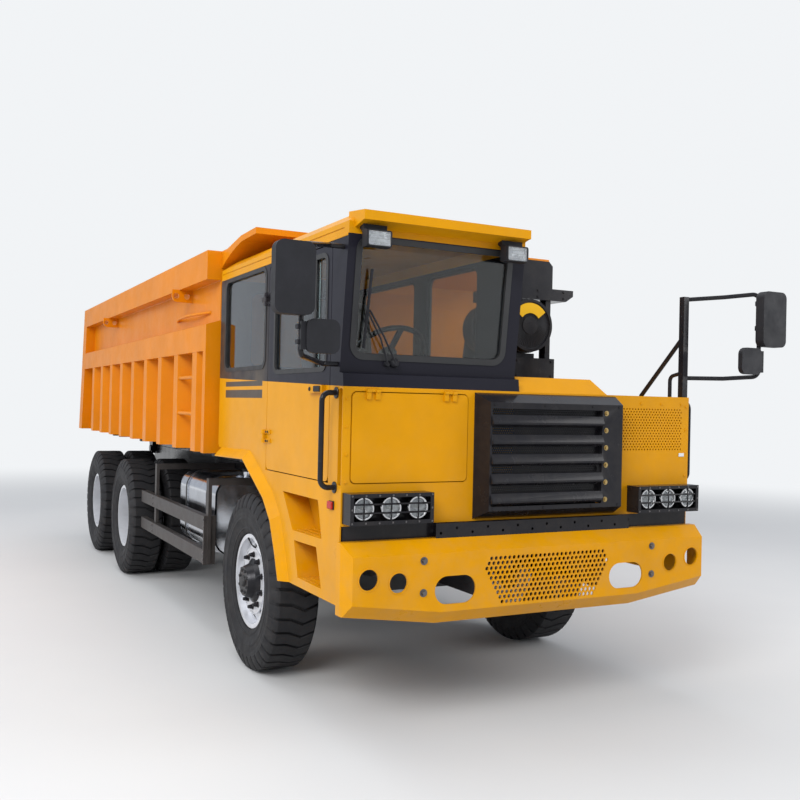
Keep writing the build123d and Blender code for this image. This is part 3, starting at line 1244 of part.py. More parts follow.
def tailgate():
    """Top-hung tailgate between the bed's sides: sheet, frame and two ears."""
    low = BED_BOTTOM + FLOOR_THICKNESS + 8
    high = 2650
    top_y = bed_rear_y(high)
    low_y = bed_rear_y(low)
    gate = along_x([(low_y, low), (top_y, high), (top_y - GATE_DEPTH, high), (low_y - GATE_DEPTH, low)],
                   -GATE_X, GATE_X)
    bay_height = (high - low - 4 * 70) / 3
    for row in range(3):
        z0 = low + 70 + row * (bay_height + 70)
        z1 = z0 + bay_height
        pocket = along_x([(bed_rear_y(z0) + 5, z0), (bed_rear_y(z1) + 5, z1),
                          (bed_rear_y(z1) - GATE_DEPTH + 12, z1),
                          (bed_rear_y(z0) - GATE_DEPTH + 12, z0)], -GATE_X, GATE_X)
        for column in range(4):
            x0 = -GATE_X + 60 + column * (2 * GATE_X - 60) / 4
            x1 = x0 + (2 * GATE_X - 60) / 4 - 60
            bay = block(x0, x1, 7000, 8200, z0, z1)
            gate = gate - (pocket & bay)
    for side in (-1, 1):
        x0 = side * (GATE_X - GATE_EAR)
        x1 = side * GATE_X
        ear = along_x([(top_y - GATE_DEPTH, high - 10), (top_y, high - 10), (GATE_HINGE_Y + 42, GATE_HINGE_Z),
                       (GATE_HINGE_Y + 20, GATE_HINGE_Z + 40), (GATE_HINGE_Y - 20, GATE_HINGE_Z + 40),
                       (GATE_HINGE_Y - 42, GATE_HINGE_Z)], x0, x1)
        bore = rod((x0 - side * 20, GATE_HINGE_Y, GATE_HINGE_Z), (x1 + side * 20, GATE_HINGE_Y, GATE_HINGE_Z),
                   GATE_PIN_RADIUS + FIT)
        gate = gate + ear - bore
    return gate


nodes["bed_side_left"] = bed_side()
nodes["bed_side_right"] = other_side(nodes["bed_side_left"])
nodes["bed_floor"] = bed_floor()
nodes["bed_sills"] = bed_sills()
nodes["bed_front_wall"] = bed_front_wall()
nodes["tailgate"] = tailgate()


# ---------------------------------------------------------------- hoist
foot = Vector(0, HOIST_FOOT_Y, HOIST_FOOT_Z)
head = Vector(0, HOIST_HEAD_Y, HOIST_HEAD_Z)
hoist_way = (head - foot).normalized()
HOIST_LENGTH = (head - foot).length
BARREL_END = HOIST_LENGTH - 190
ROD_START = 160


def on_hoist(distance):
    """A point on the hoist's axis, counted from its foot pin."""
    return foot + hoist_way * distance


def hoist_barrel():
    """Barrel with the eye at its foot and the bore for the rod."""
    eye = rod((-48, HOIST_FOOT_Y, HOIST_FOOT_Z), (48, HOIST_FOOT_Y, HOIST_FOOT_Z), 58)
    neck = rod(on_hoist(40), on_hoist(150), 48)
    barrel = rod(on_hoist(130), on_hoist(BARREL_END), BARREL_RADIUS)
    bore = rod(on_hoist(ROD_START - 10), on_hoist(BARREL_END + 10), ROD_RADIUS + FIT)
    pin_hole = rod((-60, HOIST_FOOT_Y, HOIST_FOOT_Z), (60, HOIST_FOOT_Y, HOIST_FOOT_Z),
                   HOIST_PIN_RADIUS + FIT)
    return eye + neck + barrel - bore - pin_hole


def hoist_rod():
    """Piston rod with the eye at its head, its pin in place between the cheeks."""
    bar = rod(on_hoist(ROD_START), on_hoist(HOIST_LENGTH - 20), ROD_RADIUS)
    eye = rod((-50, HOIST_HEAD_Y, HOIST_HEAD_Z), (50, HOIST_HEAD_Y, HOIST_HEAD_Z), 58)
    return bar + eye


nodes["hoist_barrel"] = hoist_barrel()
nodes["hoist_rod"] = hoist_rod()

# ---------------------------------------------------------------- shift to the middle and export
SHIFT_Y = -(MIRROR_FRONT_Y + BED_REAR_BOTTOM_Y) / 2
for name, shape in nodes.items():
    export_step(Pos(0, SHIFT_Y, 0) * shape, "parts/" + name + ".step")
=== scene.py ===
import math

import bmesh
import bpy
from mathutils import Matrix, Vector


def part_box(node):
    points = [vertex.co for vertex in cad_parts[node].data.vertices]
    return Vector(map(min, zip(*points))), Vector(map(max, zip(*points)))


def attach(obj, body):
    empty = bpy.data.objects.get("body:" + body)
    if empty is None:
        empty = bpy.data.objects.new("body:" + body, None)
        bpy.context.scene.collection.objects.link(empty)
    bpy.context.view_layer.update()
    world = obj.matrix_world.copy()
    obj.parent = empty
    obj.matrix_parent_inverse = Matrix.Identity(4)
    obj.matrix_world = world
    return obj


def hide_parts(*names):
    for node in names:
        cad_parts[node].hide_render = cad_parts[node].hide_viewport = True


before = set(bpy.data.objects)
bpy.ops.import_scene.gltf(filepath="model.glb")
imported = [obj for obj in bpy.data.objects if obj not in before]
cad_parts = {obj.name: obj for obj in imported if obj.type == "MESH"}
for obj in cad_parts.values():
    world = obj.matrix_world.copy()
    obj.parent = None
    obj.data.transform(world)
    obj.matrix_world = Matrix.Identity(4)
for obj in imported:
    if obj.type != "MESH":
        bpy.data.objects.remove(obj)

bl_info = {
    "name": "Mining dump truck finish",
    "version": (1, 0, 0),
    "blender": (4, 5, 0),
    "location": "View3D > Sidebar > Truck",
    "description": "Finishes and fittings of a rigid mining dump truck",
    "category": "Object",
}

# The frame's Y counts from the middle of the truck; stations here count from the bumper's face.
STATION_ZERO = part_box("front_bumper")[0].y
GROUND = 0.0
WHEEL_RADIUS = 0.561
AXLES = (("front", 1.644), ("mid", 5.317), ("rear", 6.841))
SIDES = (("right", -1), ("left", 1))
CAB_FRONT, CAB_REAR, CAB_MIDDLE = 0.307, 2.27, -0.6315
BED_FLOOR = 1.346
CAMERA_PLACE = (-3.052, -4.104, 1.713)
CAMERA_YAW, CAMERA_PITCH, CAMERA_ROLL = 27.513, 0.332, 1.255


def at(x, y, z):
    """A point given by its station behind the bumper."""
    return Vector((x, y + STATION_ZERO, z))


# ---------------------------------------------------------------- settings
def colour_setting(name, description, default):
    """A colour setting."""
    return bpy.props.FloatVectorProperty(name=name, description=description, default=default, subtype="COLOR",
                                         size=3, min=0, max=1)


def length_setting(name, description, default):
    """A length setting, in metres."""
    return bpy.props.FloatProperty(name=name, description=description, default=default, unit="LENGTH")


class TruckPaints(bpy.types.PropertyGroup):
    """Colours of the truck's finishes."""

    body: colour_setting("Body", "Paint of the cab, nose and skirts", (0.66, 0.285, 0.001))
    bed: colour_setting("Bed", "Paint of the tipping bed", (0.68, 0.215, 0.001))
    black: colour_setting("Black", "Gloss black of the frame, grille and brackets", (0.011, 0.0105, 0.013))
    upper: colour_setting("Upper cab", "Satin grey-black of the cab above the paint split", (0.013, 0.0125, 0.019))
    # The strips' colour also paints the reflection on the upper cab towards its rear.
    strip: colour_setting("Strips", "Grey-brown strips along the cab's side", (0.075, 0.06, 0.045))
    guard: colour_setting("Guard", "Bare steel of the side guards", (0.075, 0.066, 0.062))
    rim: colour_setting("Rim", "Silver of the rims", (0.72, 0.73, 0.76))
    tyre: colour_setting("Tyre", "Rubber of the tyres", (0.013, 0.013, 0.015))
    glass: colour_setting("Glass", "Tint of the cab glass", (0.80, 0.86, 0.85))


class TruckSizes(bpy.types.PropertyGroup):
    """Sizes of the fittings that are added to the truck's solids."""

    split_front: length_setting("Paint split, front", "Height of the paint split at the door's front edge", 1.809)
    split_rear: length_setting("Paint split, rear", "Height of the paint split at the cab's rear edge", 1.876)
    lugs: bpy.props.IntProperty(name="Lugs", description="Tread lugs round a tyre", default=38, min=8)
    groove: length_setting("Groove", "Width of the grooves between the lugs", 0.019)
    lug_depth: length_setting("Lug depth", "Depth of the tread", 0.018)
    bumper_pitch: length_setting("Bumper pitch", "Spacing of the bumper's holes along a row", 0.02866)
    bumper_hole: length_setting("Bumper hole", "Radius of the bumper's holes", 0.0108)
    fascia_hole: length_setting("Fascia hole", "Radius of the fascia's holes", 0.0058)
    mesh_pitch: length_setting("Mesh pitch", "Spacing of the holes in the grille's strips", 0.0122)
    lens: bpy.props.FloatProperty(
        name="Lens", description="Focal length of the camera on a 36 mm frame", default=41.73, min=10)


def paints():
    return bpy.context.scene.truck_paints


def sizes():
    return bpy.context.scene.truck_sizes


# ---------------------------------------------------------------- materials
class Finish:
    """Builds one node material around a Principled shader."""

    def __init__(self, name, **sockets):
        self.material = bpy.data.materials.new(name)
        self.material.use_nodes = True
        self.tree = self.material.node_tree
        self.shader = self.tree.nodes["Principled BSDF"]
        self.place = None
        for socket, value in sockets.items():
            self.set(socket, value)

    def set(self, socket, value):
        target = self.shader.inputs[socket.replace("_", " ")]
        if isinstance(value, bpy.types.NodeSocket):
            self.tree.links.new(value, target)
        elif isinstance(value, (tuple, list, Vector)) and len(value) == 3:
            target.default_value = (*value, 1)
        elif hasattr(value, "__len__"):
            target.default_value = tuple(value)[:3] + (1,)
        else:
            target.default_value = value

    def node(self, kind, inputs=(), **settings):
        new = self.tree.nodes.new(kind)
        for key, value in settings.items():
            setattr(new, key, value)
        for key, value in dict(inputs).items():
            if isinstance(value, bpy.types.NodeSocket):
                self.tree.links.new(value, new.inputs[key])
            else:
                new.inputs[key].default_value = value
        return new

    def where(self):
        """Object coordinates."""
        if self.place is None:
            self.place = self.node("ShaderNodeTexCoord").outputs["Object"]
        return self.place

    def axes(self):
        split = self.node("ShaderNodeSeparateXYZ", {0: self.where()})
        return split.outputs[0], split.outputs[1], split.outputs[2]

    def noise(self, scale, detail=3, rough=0.6, stretch=None):
        vector = self.where()
        if stretch:
            vector = self.node("ShaderNodeMapping", {"Vector": vector, "Scale": stretch}).outputs[0]
        return self.node("ShaderNodeTexNoise", {"Vector": vector, "Scale": scale, "Detail": detail,
                                                "Roughness": rough}).outputs[0]

    def math(self, operation, a, b=0.0, c=0.0, clamp=False):
        new = self.node("ShaderNodeMath", {0: a, 1: b, 2: c}, operation=operation, use_clamp=clamp)
        return new.outputs[0]

    def span(self, value, low, high, out_low=0.0, out_high=1.0, smooth=False):
        """Maps a value from low..high to out_low..out_high, clamped."""
        new = self.node("ShaderNodeMapRange", {"Value": value, "From Min": low, "From Max": high,
                                               "To Min": out_low, "To Max": out_high})
        new.clamp = True
        if smooth:
            new.interpolation_type = "SMOOTHSTEP"
        return new.outputs[0]

    def mix(self, share, first, second):
        new = self.node("ShaderNodeMix", data_type="RGBA")
        for index, value in ((0, share), (6, first), (7, second)):
            if isinstance(value, bpy.types.NodeSocket):
                self.tree.links.new(value, new.inputs[index])
            elif index == 0:
                new.inputs[index].default_value = value
            else:
                new.inputs[index].default_value = tuple(value)[:3] + (1,)
        return new.outputs[2]

    def worn(self, noise, low, high):
        """Roughness between two values, in clouds of the given noise."""
        self.set("Roughness", self.span(self.noise(*noise), 0.3, 0.7, low, high))

    def bump(self, height, strength=0.2, distance=0.002):
        new = self.node("ShaderNodeBump", {"Height": height, "Strength": strength, "Distance": distance})
        self.tree.links.new(new.outputs[0], self.shader.inputs["Normal"])


def tinted(colour, factor):
    return tuple(min(1.0, c * factor) for c in colour)


def dusted(finish, colour, dust=(0.30, 0.24, 0.17), low=0.35, high=1.6, most=0.35):
    """A paint colour with faint cloudy variation and road dust that fades with height."""
    cloud = finish.noise(2.3, 4, 0.65)
    base = finish.mix(finish.span(cloud, 0.3, 0.75), tinted(colour, 0.90), tinted(colour, 1.05))
    height = finish.axes()[2]
    fade = finish.span(height, low, high, most, 0.03)
    speckle = finish.span(finish.noise(9, 6, 0.7), 0.42, 0.72)
    return finish.mix(finish.math("MULTIPLY", fade, speckle), base, dust)


def paint(name, colour, rough=(0.26, 0.42), coat=0.08, most=0.2, orange_peel=0.03, specular=0.10):
    """Gloss paint on sheet metal."""
    finish = Finish(name, Metallic=0.0, Coat_Weight=coat, Coat_Roughness=0.08, Specular_IOR_Level=specular)
    finish.set("Base_Color", dusted(finish, colour, most=most))
    finish.worn((5, 5, 0.7), *rough)
    ripple = finish.noise(38, 2, 0.5)
    finish.bump(ripple, orange_peel, 0.002)
    return finish.material


def cab_paint():
    """Two-toned cab: body paint below a rising line, satin grey above it, with two grey strips. Towards the rear the
    satin grey turns to the strips' grey-brown as a painted reflection.
    """
    finish = Finish("cab_two_tone", Metallic=0.0, Coat_Weight=0.08, Coat_Roughness=0.08, Specular_IOR_Level=0.12)
    x, y, z = finish.axes()
    front = STATION_ZERO + CAB_FRONT
    slope = (sizes().split_rear - sizes().split_front) / (CAB_REAR - CAB_FRONT)
    line = finish.math("MULTIPLY_ADD", finish.math("SUBTRACT", y, front), slope, sizes().split_front)
    upper = finish.math("GREATER_THAN", z, line)
    side = finish.math("GREATER_THAN", finish.math("ABSOLUTE", finish.math("SUBTRACT", x, CAB_MIDDLE)), 0.50)
    body = dusted(finish, paints().body, most=0.2)
    # Painted reflection: from here back, the upper grey is mixed into the strips' grey-brown, standing in for light
    # reflected on the cab's side.
    rear = finish.span(y, STATION_ZERO + 1.20, STATION_ZERO + 1.45, smooth=True)
    upper_and_reflection = finish.mix(rear, paints().upper, paints().strip)
    grey = finish.mix(finish.span(finish.noise(4, 4), 0.35, 0.7), upper_and_reflection, paints().upper)
    both = finish.mix(upper, body, grey)
    along = finish.math("MULTIPLY", finish.math("GREATER_THAN", y, STATION_ZERO + 1.366),
                        finish.math("LESS_THAN", y, STATION_ZERO + 2.127))
    strips = None
    for low, high in ((1.740, 1.792), (1.815, 1.848)):
        band = finish.math("MULTIPLY", finish.math("GREATER_THAN", z, low), finish.math("LESS_THAN", z, high))
        strips = band if strips is None else finish.math("ADD", strips, band)
    strips = finish.math("MULTIPLY", finish.math("MULTIPLY", strips, along), side)
    finish.set("Base_Color", finish.mix(strips, both, paints().strip))
    finish.worn((5, 5, 0.7), 0.28, 0.42)
    finish.bump(finish.noise(38, 2, 0.5), 0.04)
    return finish.material


def bed_floor_paint():
    """Bed paint on the floor's top, black primer below it."""
    finish = Finish("bed_floor_paint", Metallic=0.0, Coat_Weight=0.1, Specular_IOR_Level=0.2)
    top = finish.math("GREATER_THAN", finish.axes()[2], BED_FLOOR)
    finish.set("Base_Color", finish.mix(top, tinted(paints().black, 1.6), dusted(finish, paints().bed)))
    finish.worn((6, 5, 0.7), 0.4, 0.6)
    finish.bump(finish.noise(40, 3, 0.6), 0.05, 0.002)
    return finish.material


def rim_paint(name, y_station, hub_radius=0.142):
    """Silver rim paint with the black hub in its middle."""
    finish = Finish(name, Metallic=0.45)
    y, z = finish.axes()[1:]
    dy = finish.math("SUBTRACT", y, STATION_ZERO + y_station)
    dz = finish.math("SUBTRACT", z, WHEEL_RADIUS)
    radius = finish.math("SQRT", finish.math("ADD", finish.math("MULTIPLY", dy, dy), finish.math("MULTIPLY", dz, dz)))
    hub = finish.math("LESS_THAN", radius, hub_radius)
    grime = finish.math("MULTIPLY", finish.span(finish.noise(14, 6, 0.7), 0.42, 0.72),
                        finish.span(radius, 0.16, 0.3, 0.16, 0.04))
    silver = finish.mix(grime, paints().rim, (0.16, 0.13, 0.10))
    finish.set("Base_Color", finish.mix(hub, silver, paints().black))
    finish.worn((12, 4, 0.7), 0.28, 0.38)
    finish.bump(finish.noise(60, 3, 0.6), 0.02, 0.001)
    return finish.material


def metal(name, colour, rough=(0.3, 0.5), metallic=1.0, scratches=0.06, stretch=(1, 1, 1), scale=25):
    """Worked metal with fine scratches."""
    finish = Finish(name, Metallic=metallic)
    mottle = finish.noise(7, 5, 0.7)
    finish.set("Base_Color", finish.mix(finish.span(mottle, 0.35, 0.7), tinted(colour, 0.82), tinted(colour, 1.1)))
    finish.set("Roughness", finish.span(mottle, 0.3, 0.7, *rough))
    finish.bump(finish.noise(scale, 5, 0.7, stretch), scratches, 0.001)
    return finish.material


def moulded(name, colour, rough=(0.5, 0.7), grain=220, strength=0.12, **sockets):
    """Grained plastic or rubber."""
    finish = Finish(name, Metallic=0.0, **sockets)
    finish.set("Base_Color", finish.mix(finish.span(finish.noise(6, 5, 0.7), 0.35, 0.7), tinted(colour, 0.8),
                                        tinted(colour, 1.25)))
    finish.worn((11, 4), *rough)
    finish.bump(finish.noise(grain, 3, 0.6), strength, 0.001)
    return finish.material


def tyre_rubber():
    """Tyre rubber, browned by dust in clouds."""
    finish = Finish("tyre_rubber", Metallic=0.0, Specular_IOR_Level=0.3)
    dust = finish.span(finish.noise(8, 6, 0.75), 0.40, 0.75, 0.0, 0.4)
    base = finish.mix(dust, paints().tyre, (0.042, 0.037, 0.033))
    finish.set("Base_Color", base)
    finish.worn((15, 4), 0.55, 0.8)
    finish.bump(finish.noise(120, 4, 0.65), 0.2, 0.0015)
    return finish.material


def window_glass():
    """Clear glass with a slight tint and a film of dust."""
    finish = Finish("window_glass", Metallic=0.0, Transmission_Weight=1.0, IOR=1.45)
    film = finish.span(finish.noise(3, 5, 0.7), 0.45, 0.8, 0.0, 0.02)
    finish.set("Base_Color", finish.mix(finish.span(finish.noise(2, 3), 0.3, 0.7), paints().glass,
                                        tinted(paints().glass, 0.86)))
    finish.set("Roughness", film)
    return finish.material


def lamp_glass(name, colour, weight=0.6, ribs=0.06):
    """Ribbed lamp lens."""
    finish = Finish(name, Metallic=0.0, Transmission_Weight=weight, IOR=1.5)
    wave = finish.math("SINE", finish.math("MULTIPLY", finish.axes()[0], 700))
    finish.set("Base_Color", finish.mix(finish.span(finish.noise(30, 3), 0.3, 0.7), colour, tinted(colour, 0.8)))
    finish.worn((20, 4), 0.01, 0.05)
    finish.bump(wave, ribs, 0.001)
    return finish.material


def radiator_core():
    """Dark core with fine upright fins."""
    finish = Finish("radiator_core", Metallic=0.6)
    x, _, z = finish.axes()
    fins = finish.math("SINE", finish.math("MULTIPLY", x, 1500))
    rows = finish.math("SINE", finish.math("MULTIPLY", z, 500))
    finish.set("Base_Color", finish.mix(finish.span(rows, -1, 1), (0.012, 0.012, 0.013), (0.035, 0.034, 0.033)))
    finish.worn((20, 4), 0.5, 0.7)
    finish.bump(finish.math("ADD", fins, rows), 0.5, 0.002)
    return finish.material


def woven(name, colour):
    """Coarse seat cloth."""
    finish = Finish(name, Metallic=0.0, Sheen_Weight=0.3, Sheen_Roughness=0.5)
    x, y, z = finish.axes()
    warp = finish.math("SINE", finish.math("MULTIPLY", x, 1400))
    weft = finish.math("SINE", finish.math("MULTIPLY", finish.math("ADD", y, z), 1400))
    finish.set("Base_Color", finish.mix(finish.span(finish.noise(40, 5), 0.3, 0.7), tinted(colour, 0.7),
                                        tinted(colour, 1.3)))
    finish.worn((30, 3), 0.8, 0.95)
    finish.bump(finish.math("MULTIPLY", warp, weft), 0.4, 0.001)
    return finish.material


MATERIALS = {}


def make_materials():
    """All finishes, made once."""
    p = paints()
    MATERIALS.update({
        "body": paint("body_yellow", p.body),
        "bed": paint("bed_orange", p.bed, rough=(0.3, 0.48), coat=0.08, most=0.16, orange_peel=0.06),
        "under": bed_floor_paint(),
        "cab": cab_paint(),
        "black": paint("gloss_black", p.black, rough=(0.16, 0.3), coat=0.12, most=0.03, specular=0.2),
        "guard": metal("bare_guard_steel", p.guard, rough=(0.4, 0.58), metallic=0.5),
        "steel": metal("bolt_steel", (0.18, 0.17, 0.17), rough=(0.35, 0.5)),
        "tank": metal("polished_tank", (0.62, 0.64, 0.68), rough=(0.10, 0.2), scratches=0.03),
        "chrome": metal("ground_rod", (0.62, 0.62, 0.63), rough=(0.1, 0.2), scratches=0.02),
        "cast": moulded("painted_casting", (0.03, 0.029, 0.03), rough=(0.45, 0.65), grain=90, strength=0.25),
        "plastic": moulded("black_plastic", (0.012, 0.012, 0.015), Specular_IOR_Level=0.3),
        "rubber": moulded("seal_rubber", (0.014, 0.014, 0.015), rough=(0.45, 0.6), grain=140),
        "tyre": tyre_rubber(),
        "glass": window_glass(),
        "lens": lamp_glass("lamp_lens", (0.95, 0.96, 0.96), 0.97),
        "reflector": metal("lamp_reflector", (0.88, 0.90, 0.93), rough=(0.22, 0.34), metallic=0.35, scratches=0.02),
        "red": lamp_glass("marker_red", (0.55, 0.012, 0.01), 0.2),
        "radiator": radiator_core(),
        "cloth": woven("seat_cloth", (0.05, 0.05, 0.056)),
        "sticker": paint("yellow_sticker", (0.80, 0.46, 0.01), rough=(0.35, 0.5), coat=0.1, most=0.1),
        "white": paint("white_marker", (0.72, 0.73, 0.72), rough=(0.3, 0.45), most=0.1),
        "brass": metal("plated_bolt", (0.42, 0.30, 0.12), rough=(0.3, 0.45), metallic=0.9),
        "mirror": metal("mirror_glass", (0.75, 0.77, 0.78), rough=(0.02, 0.05), scratches=0.0),
    })
    for axle, station in AXLES:
        MATERIALS["rim_" + axle] = rim_paint("rim_silver_" + axle, station)


NODE_FINISH = {
    "chassis_frame": "black", "front_bumper": "body", "front_axle": "cast", "rear_axles": "cast",
    "leaf_springs": "cast", "nose_fascia": "body", "radiator_grille": "black", "lamp_boxes": "black",
    "fender_right": "body", "fender_left": "body", "front_deck": "body", "radiator": "radiator",
    "engine_block": "cast", "cab_shell": "cab", "cab_roof": "body", "cab_glass": "glass",
    "driver_seat": "cloth", "dashboard": "plastic", "lamps": "lens", "grab_handles": "black",
    "mirror_arms": "black", "mirror_heads": "plastic", "air_cleaner": "black", "intake_frame": "black",
    "fuel_tank": "tank", "battery_box": "black", "side_guards": "guard", "front_hatch": "body",
    "door_right": "cab", "door_glass": "glass", "knuckle_left": "cast", "knuckle_right": "cast",
    "bed_floor": "under", "bed_sills": "black", "bed_side_left": "bed", "bed_side_right": "bed",
    "bed_front_wall": "bed",
    "tailgate": "bed", "hoist_barrel": "black", "hoist_rod": "chrome",
}


def dress(obj, finish):
    """Gives an object one material."""
    obj.data.materials.clear()
    obj.data.materials.append(MATERIALS[finish])


def basis(axis):
    """Two directions square to an axis."""
    axis = Vector(axis).normalized()
    side = Vector((0, 0, 1)) if abs(axis.z) < 0.9 else Vector((1, 0, 0))
    first = side.cross(axis).normalized()
    return axis, first, axis.cross(first)


class Shape:
    """A mesh under construction, in metres in the truck's frame."""

    def __init__(self):
        self.bm = bmesh.new()

    def loops(self, rings, closed=True, capped=True):
        """Skins a run of equal rings of points, with caps at both ends."""
        rows = [[self.bm.verts.new(point) for point in ring] for ring in rings]
        count = len(rows[0])
        for low, high in zip(rows, rows[1:]):
            for index in range(count if closed else count - 1):
                after = (index + 1) % count
                self.bm.faces.new((low[index], low[after], high[after], high[index]))
        if capped:
            self.bm.faces.new(list(reversed(rows[0])))
            self.bm.faces.new(rows[-1])
        return self

    def box(self, low, high, bevel=0.0):
        """A box between two corners, with its edges eased."""
        low, high = Vector(low), Vector(high)
        x0, x1 = sorted((low.x, high.x))
        y0, y1 = sorted((low.y, high.y))
        z0, z1 = sorted((low.z, high.z))
        b = min(bevel, (x1 - x0) / 3, (y1 - y0) / 3, (z1 - z0) / 3)
        if b <= 0:
            ring = [(x0, y0), (x1, y0), (x1, y1), (x0, y1)]
            return self.loops([[(x, y, z) for x, y in ring] for z in (z0, z1)])
        wide = [(x0 + b, y0), (x1 - b, y0), (x1, y0 + b), (x1, y1 - b), (x1 - b, y1), (x0 + b, y1), (x0, y1 - b),
                (x0, y0 + b)]
        middle_x, middle_y = (x0 + x1) / 2, (y0 + y1) / 2
        narrow = [(x + (b if x < middle_x else -b) * 0.7, y + (b if y < middle_y else -b) * 0.7) for x, y in wide]
        return self.loops([[(x, y, z) for x, y in ring] for ring, z in
                           ((narrow, z0), (wide, z0 + b), (wide, z1 - b), (narrow, z1))])

    def prism(self, outline, start, along, across, up):
        """Extrudes an outline of (across, up) pairs from a start point along a vector."""
        start, along, across, up = Vector(start), Vector(along), Vector(across), Vector(up)
        base = [start + across * a + up * b for a, b in outline]
        return self.loops([base, [point + along for point in base]])

    def turned(self, profile, origin, axis, sides=32, closed=False):
        """Turns a profile of (along, radius) pairs about an axis through the origin."""
        axis, first, second = basis(axis)
        origin = Vector(origin)
        rows = []
        for along, radius in profile:
            centre = origin + axis * along
            if radius < 1e-6:
                rows.append([self.bm.verts.new(centre)])
                continue
            rows.append([self.bm.verts.new(centre + (first * math.cos(a) + second * math.sin(a)) * radius)
                         for a in (2 * math.pi * i / sides for i in range(sides))])
        pairs = list(zip(rows, rows[1:]))
        if closed:
            pairs.append((rows[-1], rows[0]))
        for low, high in pairs:
            for i in range(sides):
                j = (i + 1) % sides
                quad = [low[i % len(low)], low[j % len(low)], high[j % len(high)], high[i % len(high)]]
                corners = list(dict.fromkeys(quad))
                if len(corners) > 2:
                    self.bm.faces.new(corners)
        return self

    def bar(self, start, end, radius, sides=16, ease=0.0):
        """A round bar between two points."""
        start, end = Vector(start), Vector(end)
        length = (end - start).length
        e = min(ease, radius / 2, length / 3)
        if e > 0:
            profile = [(0, 0), (0, radius - e), (e, radius), (length - e, radius), (length, radius - e), (length, 0)]
        else:
            profile = [(0, 0), (0, radius), (length, radius), (length, 0)]
        return self.turned(profile, start, end - start, sides)

    def tube(self, path, radius, sides=10):
        """A round tube along a path of points."""
        path = [Vector(point) for point in path]
        rings = []
        first = None
        for index, point in enumerate(path):
            ahead = path[min(index + 1, len(path) - 1)] - path[max(index - 1, 0)]
            ahead.normalize()
            if first is None:
                _, first, _ = basis(ahead)
            first = (first - ahead * first.dot(ahead)).normalized()
            second = ahead.cross(first)
            rings.append([point + (first * math.cos(a) + second * math.sin(a)) * radius
                          for a in (2 * math.pi * i / sides for i in range(sides))])
        return self.loops(rings)

    def band(self, outer, inner, depth):
        """A closed ring between two equal outlines, thick along a vector."""
        depth = Vector(depth)
        low_out = [self.bm.verts.new(p) for p in outer]
        low_in = [self.bm.verts.new(p) for p in inner]
        high_out = [self.bm.verts.new(Vector(p) + depth) for p in outer]
        high_in = [self.bm.verts.new(Vector(p) + depth) for p in inner]
        count = len(outer)
        for i in range(count):
            j = (i + 1) % count
            for a, b in ((low_out, high_out), (high_out, high_in), (high_in, low_in), (low_in, low_out)):
                self.bm.faces.new((a[i], a[j], b[j], b[i]))
        return self

    def mesh(self, name, smooth=32):
        """The finished mesh, outside faces outward."""
        bmesh.ops.recalc_face_normals(self.bm, faces=self.bm.faces)
        mesh = bpy.data.meshes.new(name)
        self.bm.to_mesh(mesh)
        self.bm.free()
        shade(mesh, smooth)
        return mesh


def shade(mesh, smooth=32):
    """Smooth shading with sharp edges above an angle."""
    mesh.shade_smooth()
    mesh.set_sharp_from_angle(angle=math.radians(smooth))


def link(name, mesh, finish):
    obj = bpy.data.objects.new(name, mesh)
    bpy.context.scene.collection.objects.link(obj)
    dress(obj, finish)
    return obj


def piece(name, shape, finish, body, smooth=32):
    """A piece of the truck with one finish, riding on a body."""
    mesh = shape.mesh(name, smooth) if isinstance(shape, Shape) else shape
    obj = link(name, mesh, finish)
    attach(obj, body)
    return obj


def merged(node):
    """A welded copy of a CAD node's mesh."""
    shape = bmesh.new()
    shape.from_mesh(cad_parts[node].data)
    bmesh.ops.remove_doubles(shape, verts=shape.verts, dist=2e-5)
    bmesh.ops.dissolve_limit(shape, angle_limit=math.radians(0.5), verts=shape.verts, edges=shape.edges)
    mesh = bpy.data.meshes.new(node + "_copy")
    shape.to_mesh(mesh)
    shape.free()
    return mesh


def rounded_outline(u0, u1, v0, v1, radius, steps=6):
    """Corner-rounded rectangle as (u, v) pairs."""
    points = []
    for cu, cv, start in ((u1 - radius, v1 - radius, 0), (u0 + radius, v1 - radius, 90),
                          (u0 + radius, v0 + radius, 180), (u1 - radius, v0 + radius, 270)):
        for step in range(steps + 1):
            a = math.radians(start + 90 * step / steps)
            points.append((cu + radius * math.cos(a), cv + radius * math.sin(a)))
    return points


def upright(x, y, z, outline):
    """Points of an outline that stands square to the truck's length."""
    return [at(x + u, y, z + v) for u, v in outline]


# ---------------------------------------------------------------- node groups
def new_group(name, inputs):
    """An empty Geometry Nodes group with its sockets."""
    group = bpy.data.node_groups.new(name, "GeometryNodeTree")
    group.interface.new_socket("Geometry", in_out="INPUT", socket_type="NodeSocketGeometry")
    for label, kind, value in inputs:
        socket = group.interface.new_socket(label, in_out="INPUT", socket_type=kind)
        if value is not None:
            socket.default_value = value
    group.interface.new_socket("Geometry", in_out="OUTPUT", socket_type="NodeSocketGeometry")
    return group, group.nodes.new("NodeGroupInput"), group.nodes.new("NodeGroupOutput")


def add(group, kind, inputs=(), **settings):
    node = group.nodes.new(kind)
    for key, value in settings.items():
        setattr(node, key, value)
    for key, value in dict(inputs).items():
        if isinstance(value, bpy.types.NodeSocket):
            group.links.new(value, node.inputs[key])
        else:
            node.inputs[key].default_value = value
    return node


def finish_group(group, source, target, geometry, real=True):
    """Realizes the instances, sets the material and closes the group."""
    if real:
        geometry = add(group, "GeometryNodeRealizeInstances", {"Geometry": geometry}).outputs[0]
    painted = add(group, "GeometryNodeSetMaterial", {"Geometry": geometry, "Material": source.outputs["Material"]})
    group.links.new(painted.outputs[0], target.inputs[0])
    return group


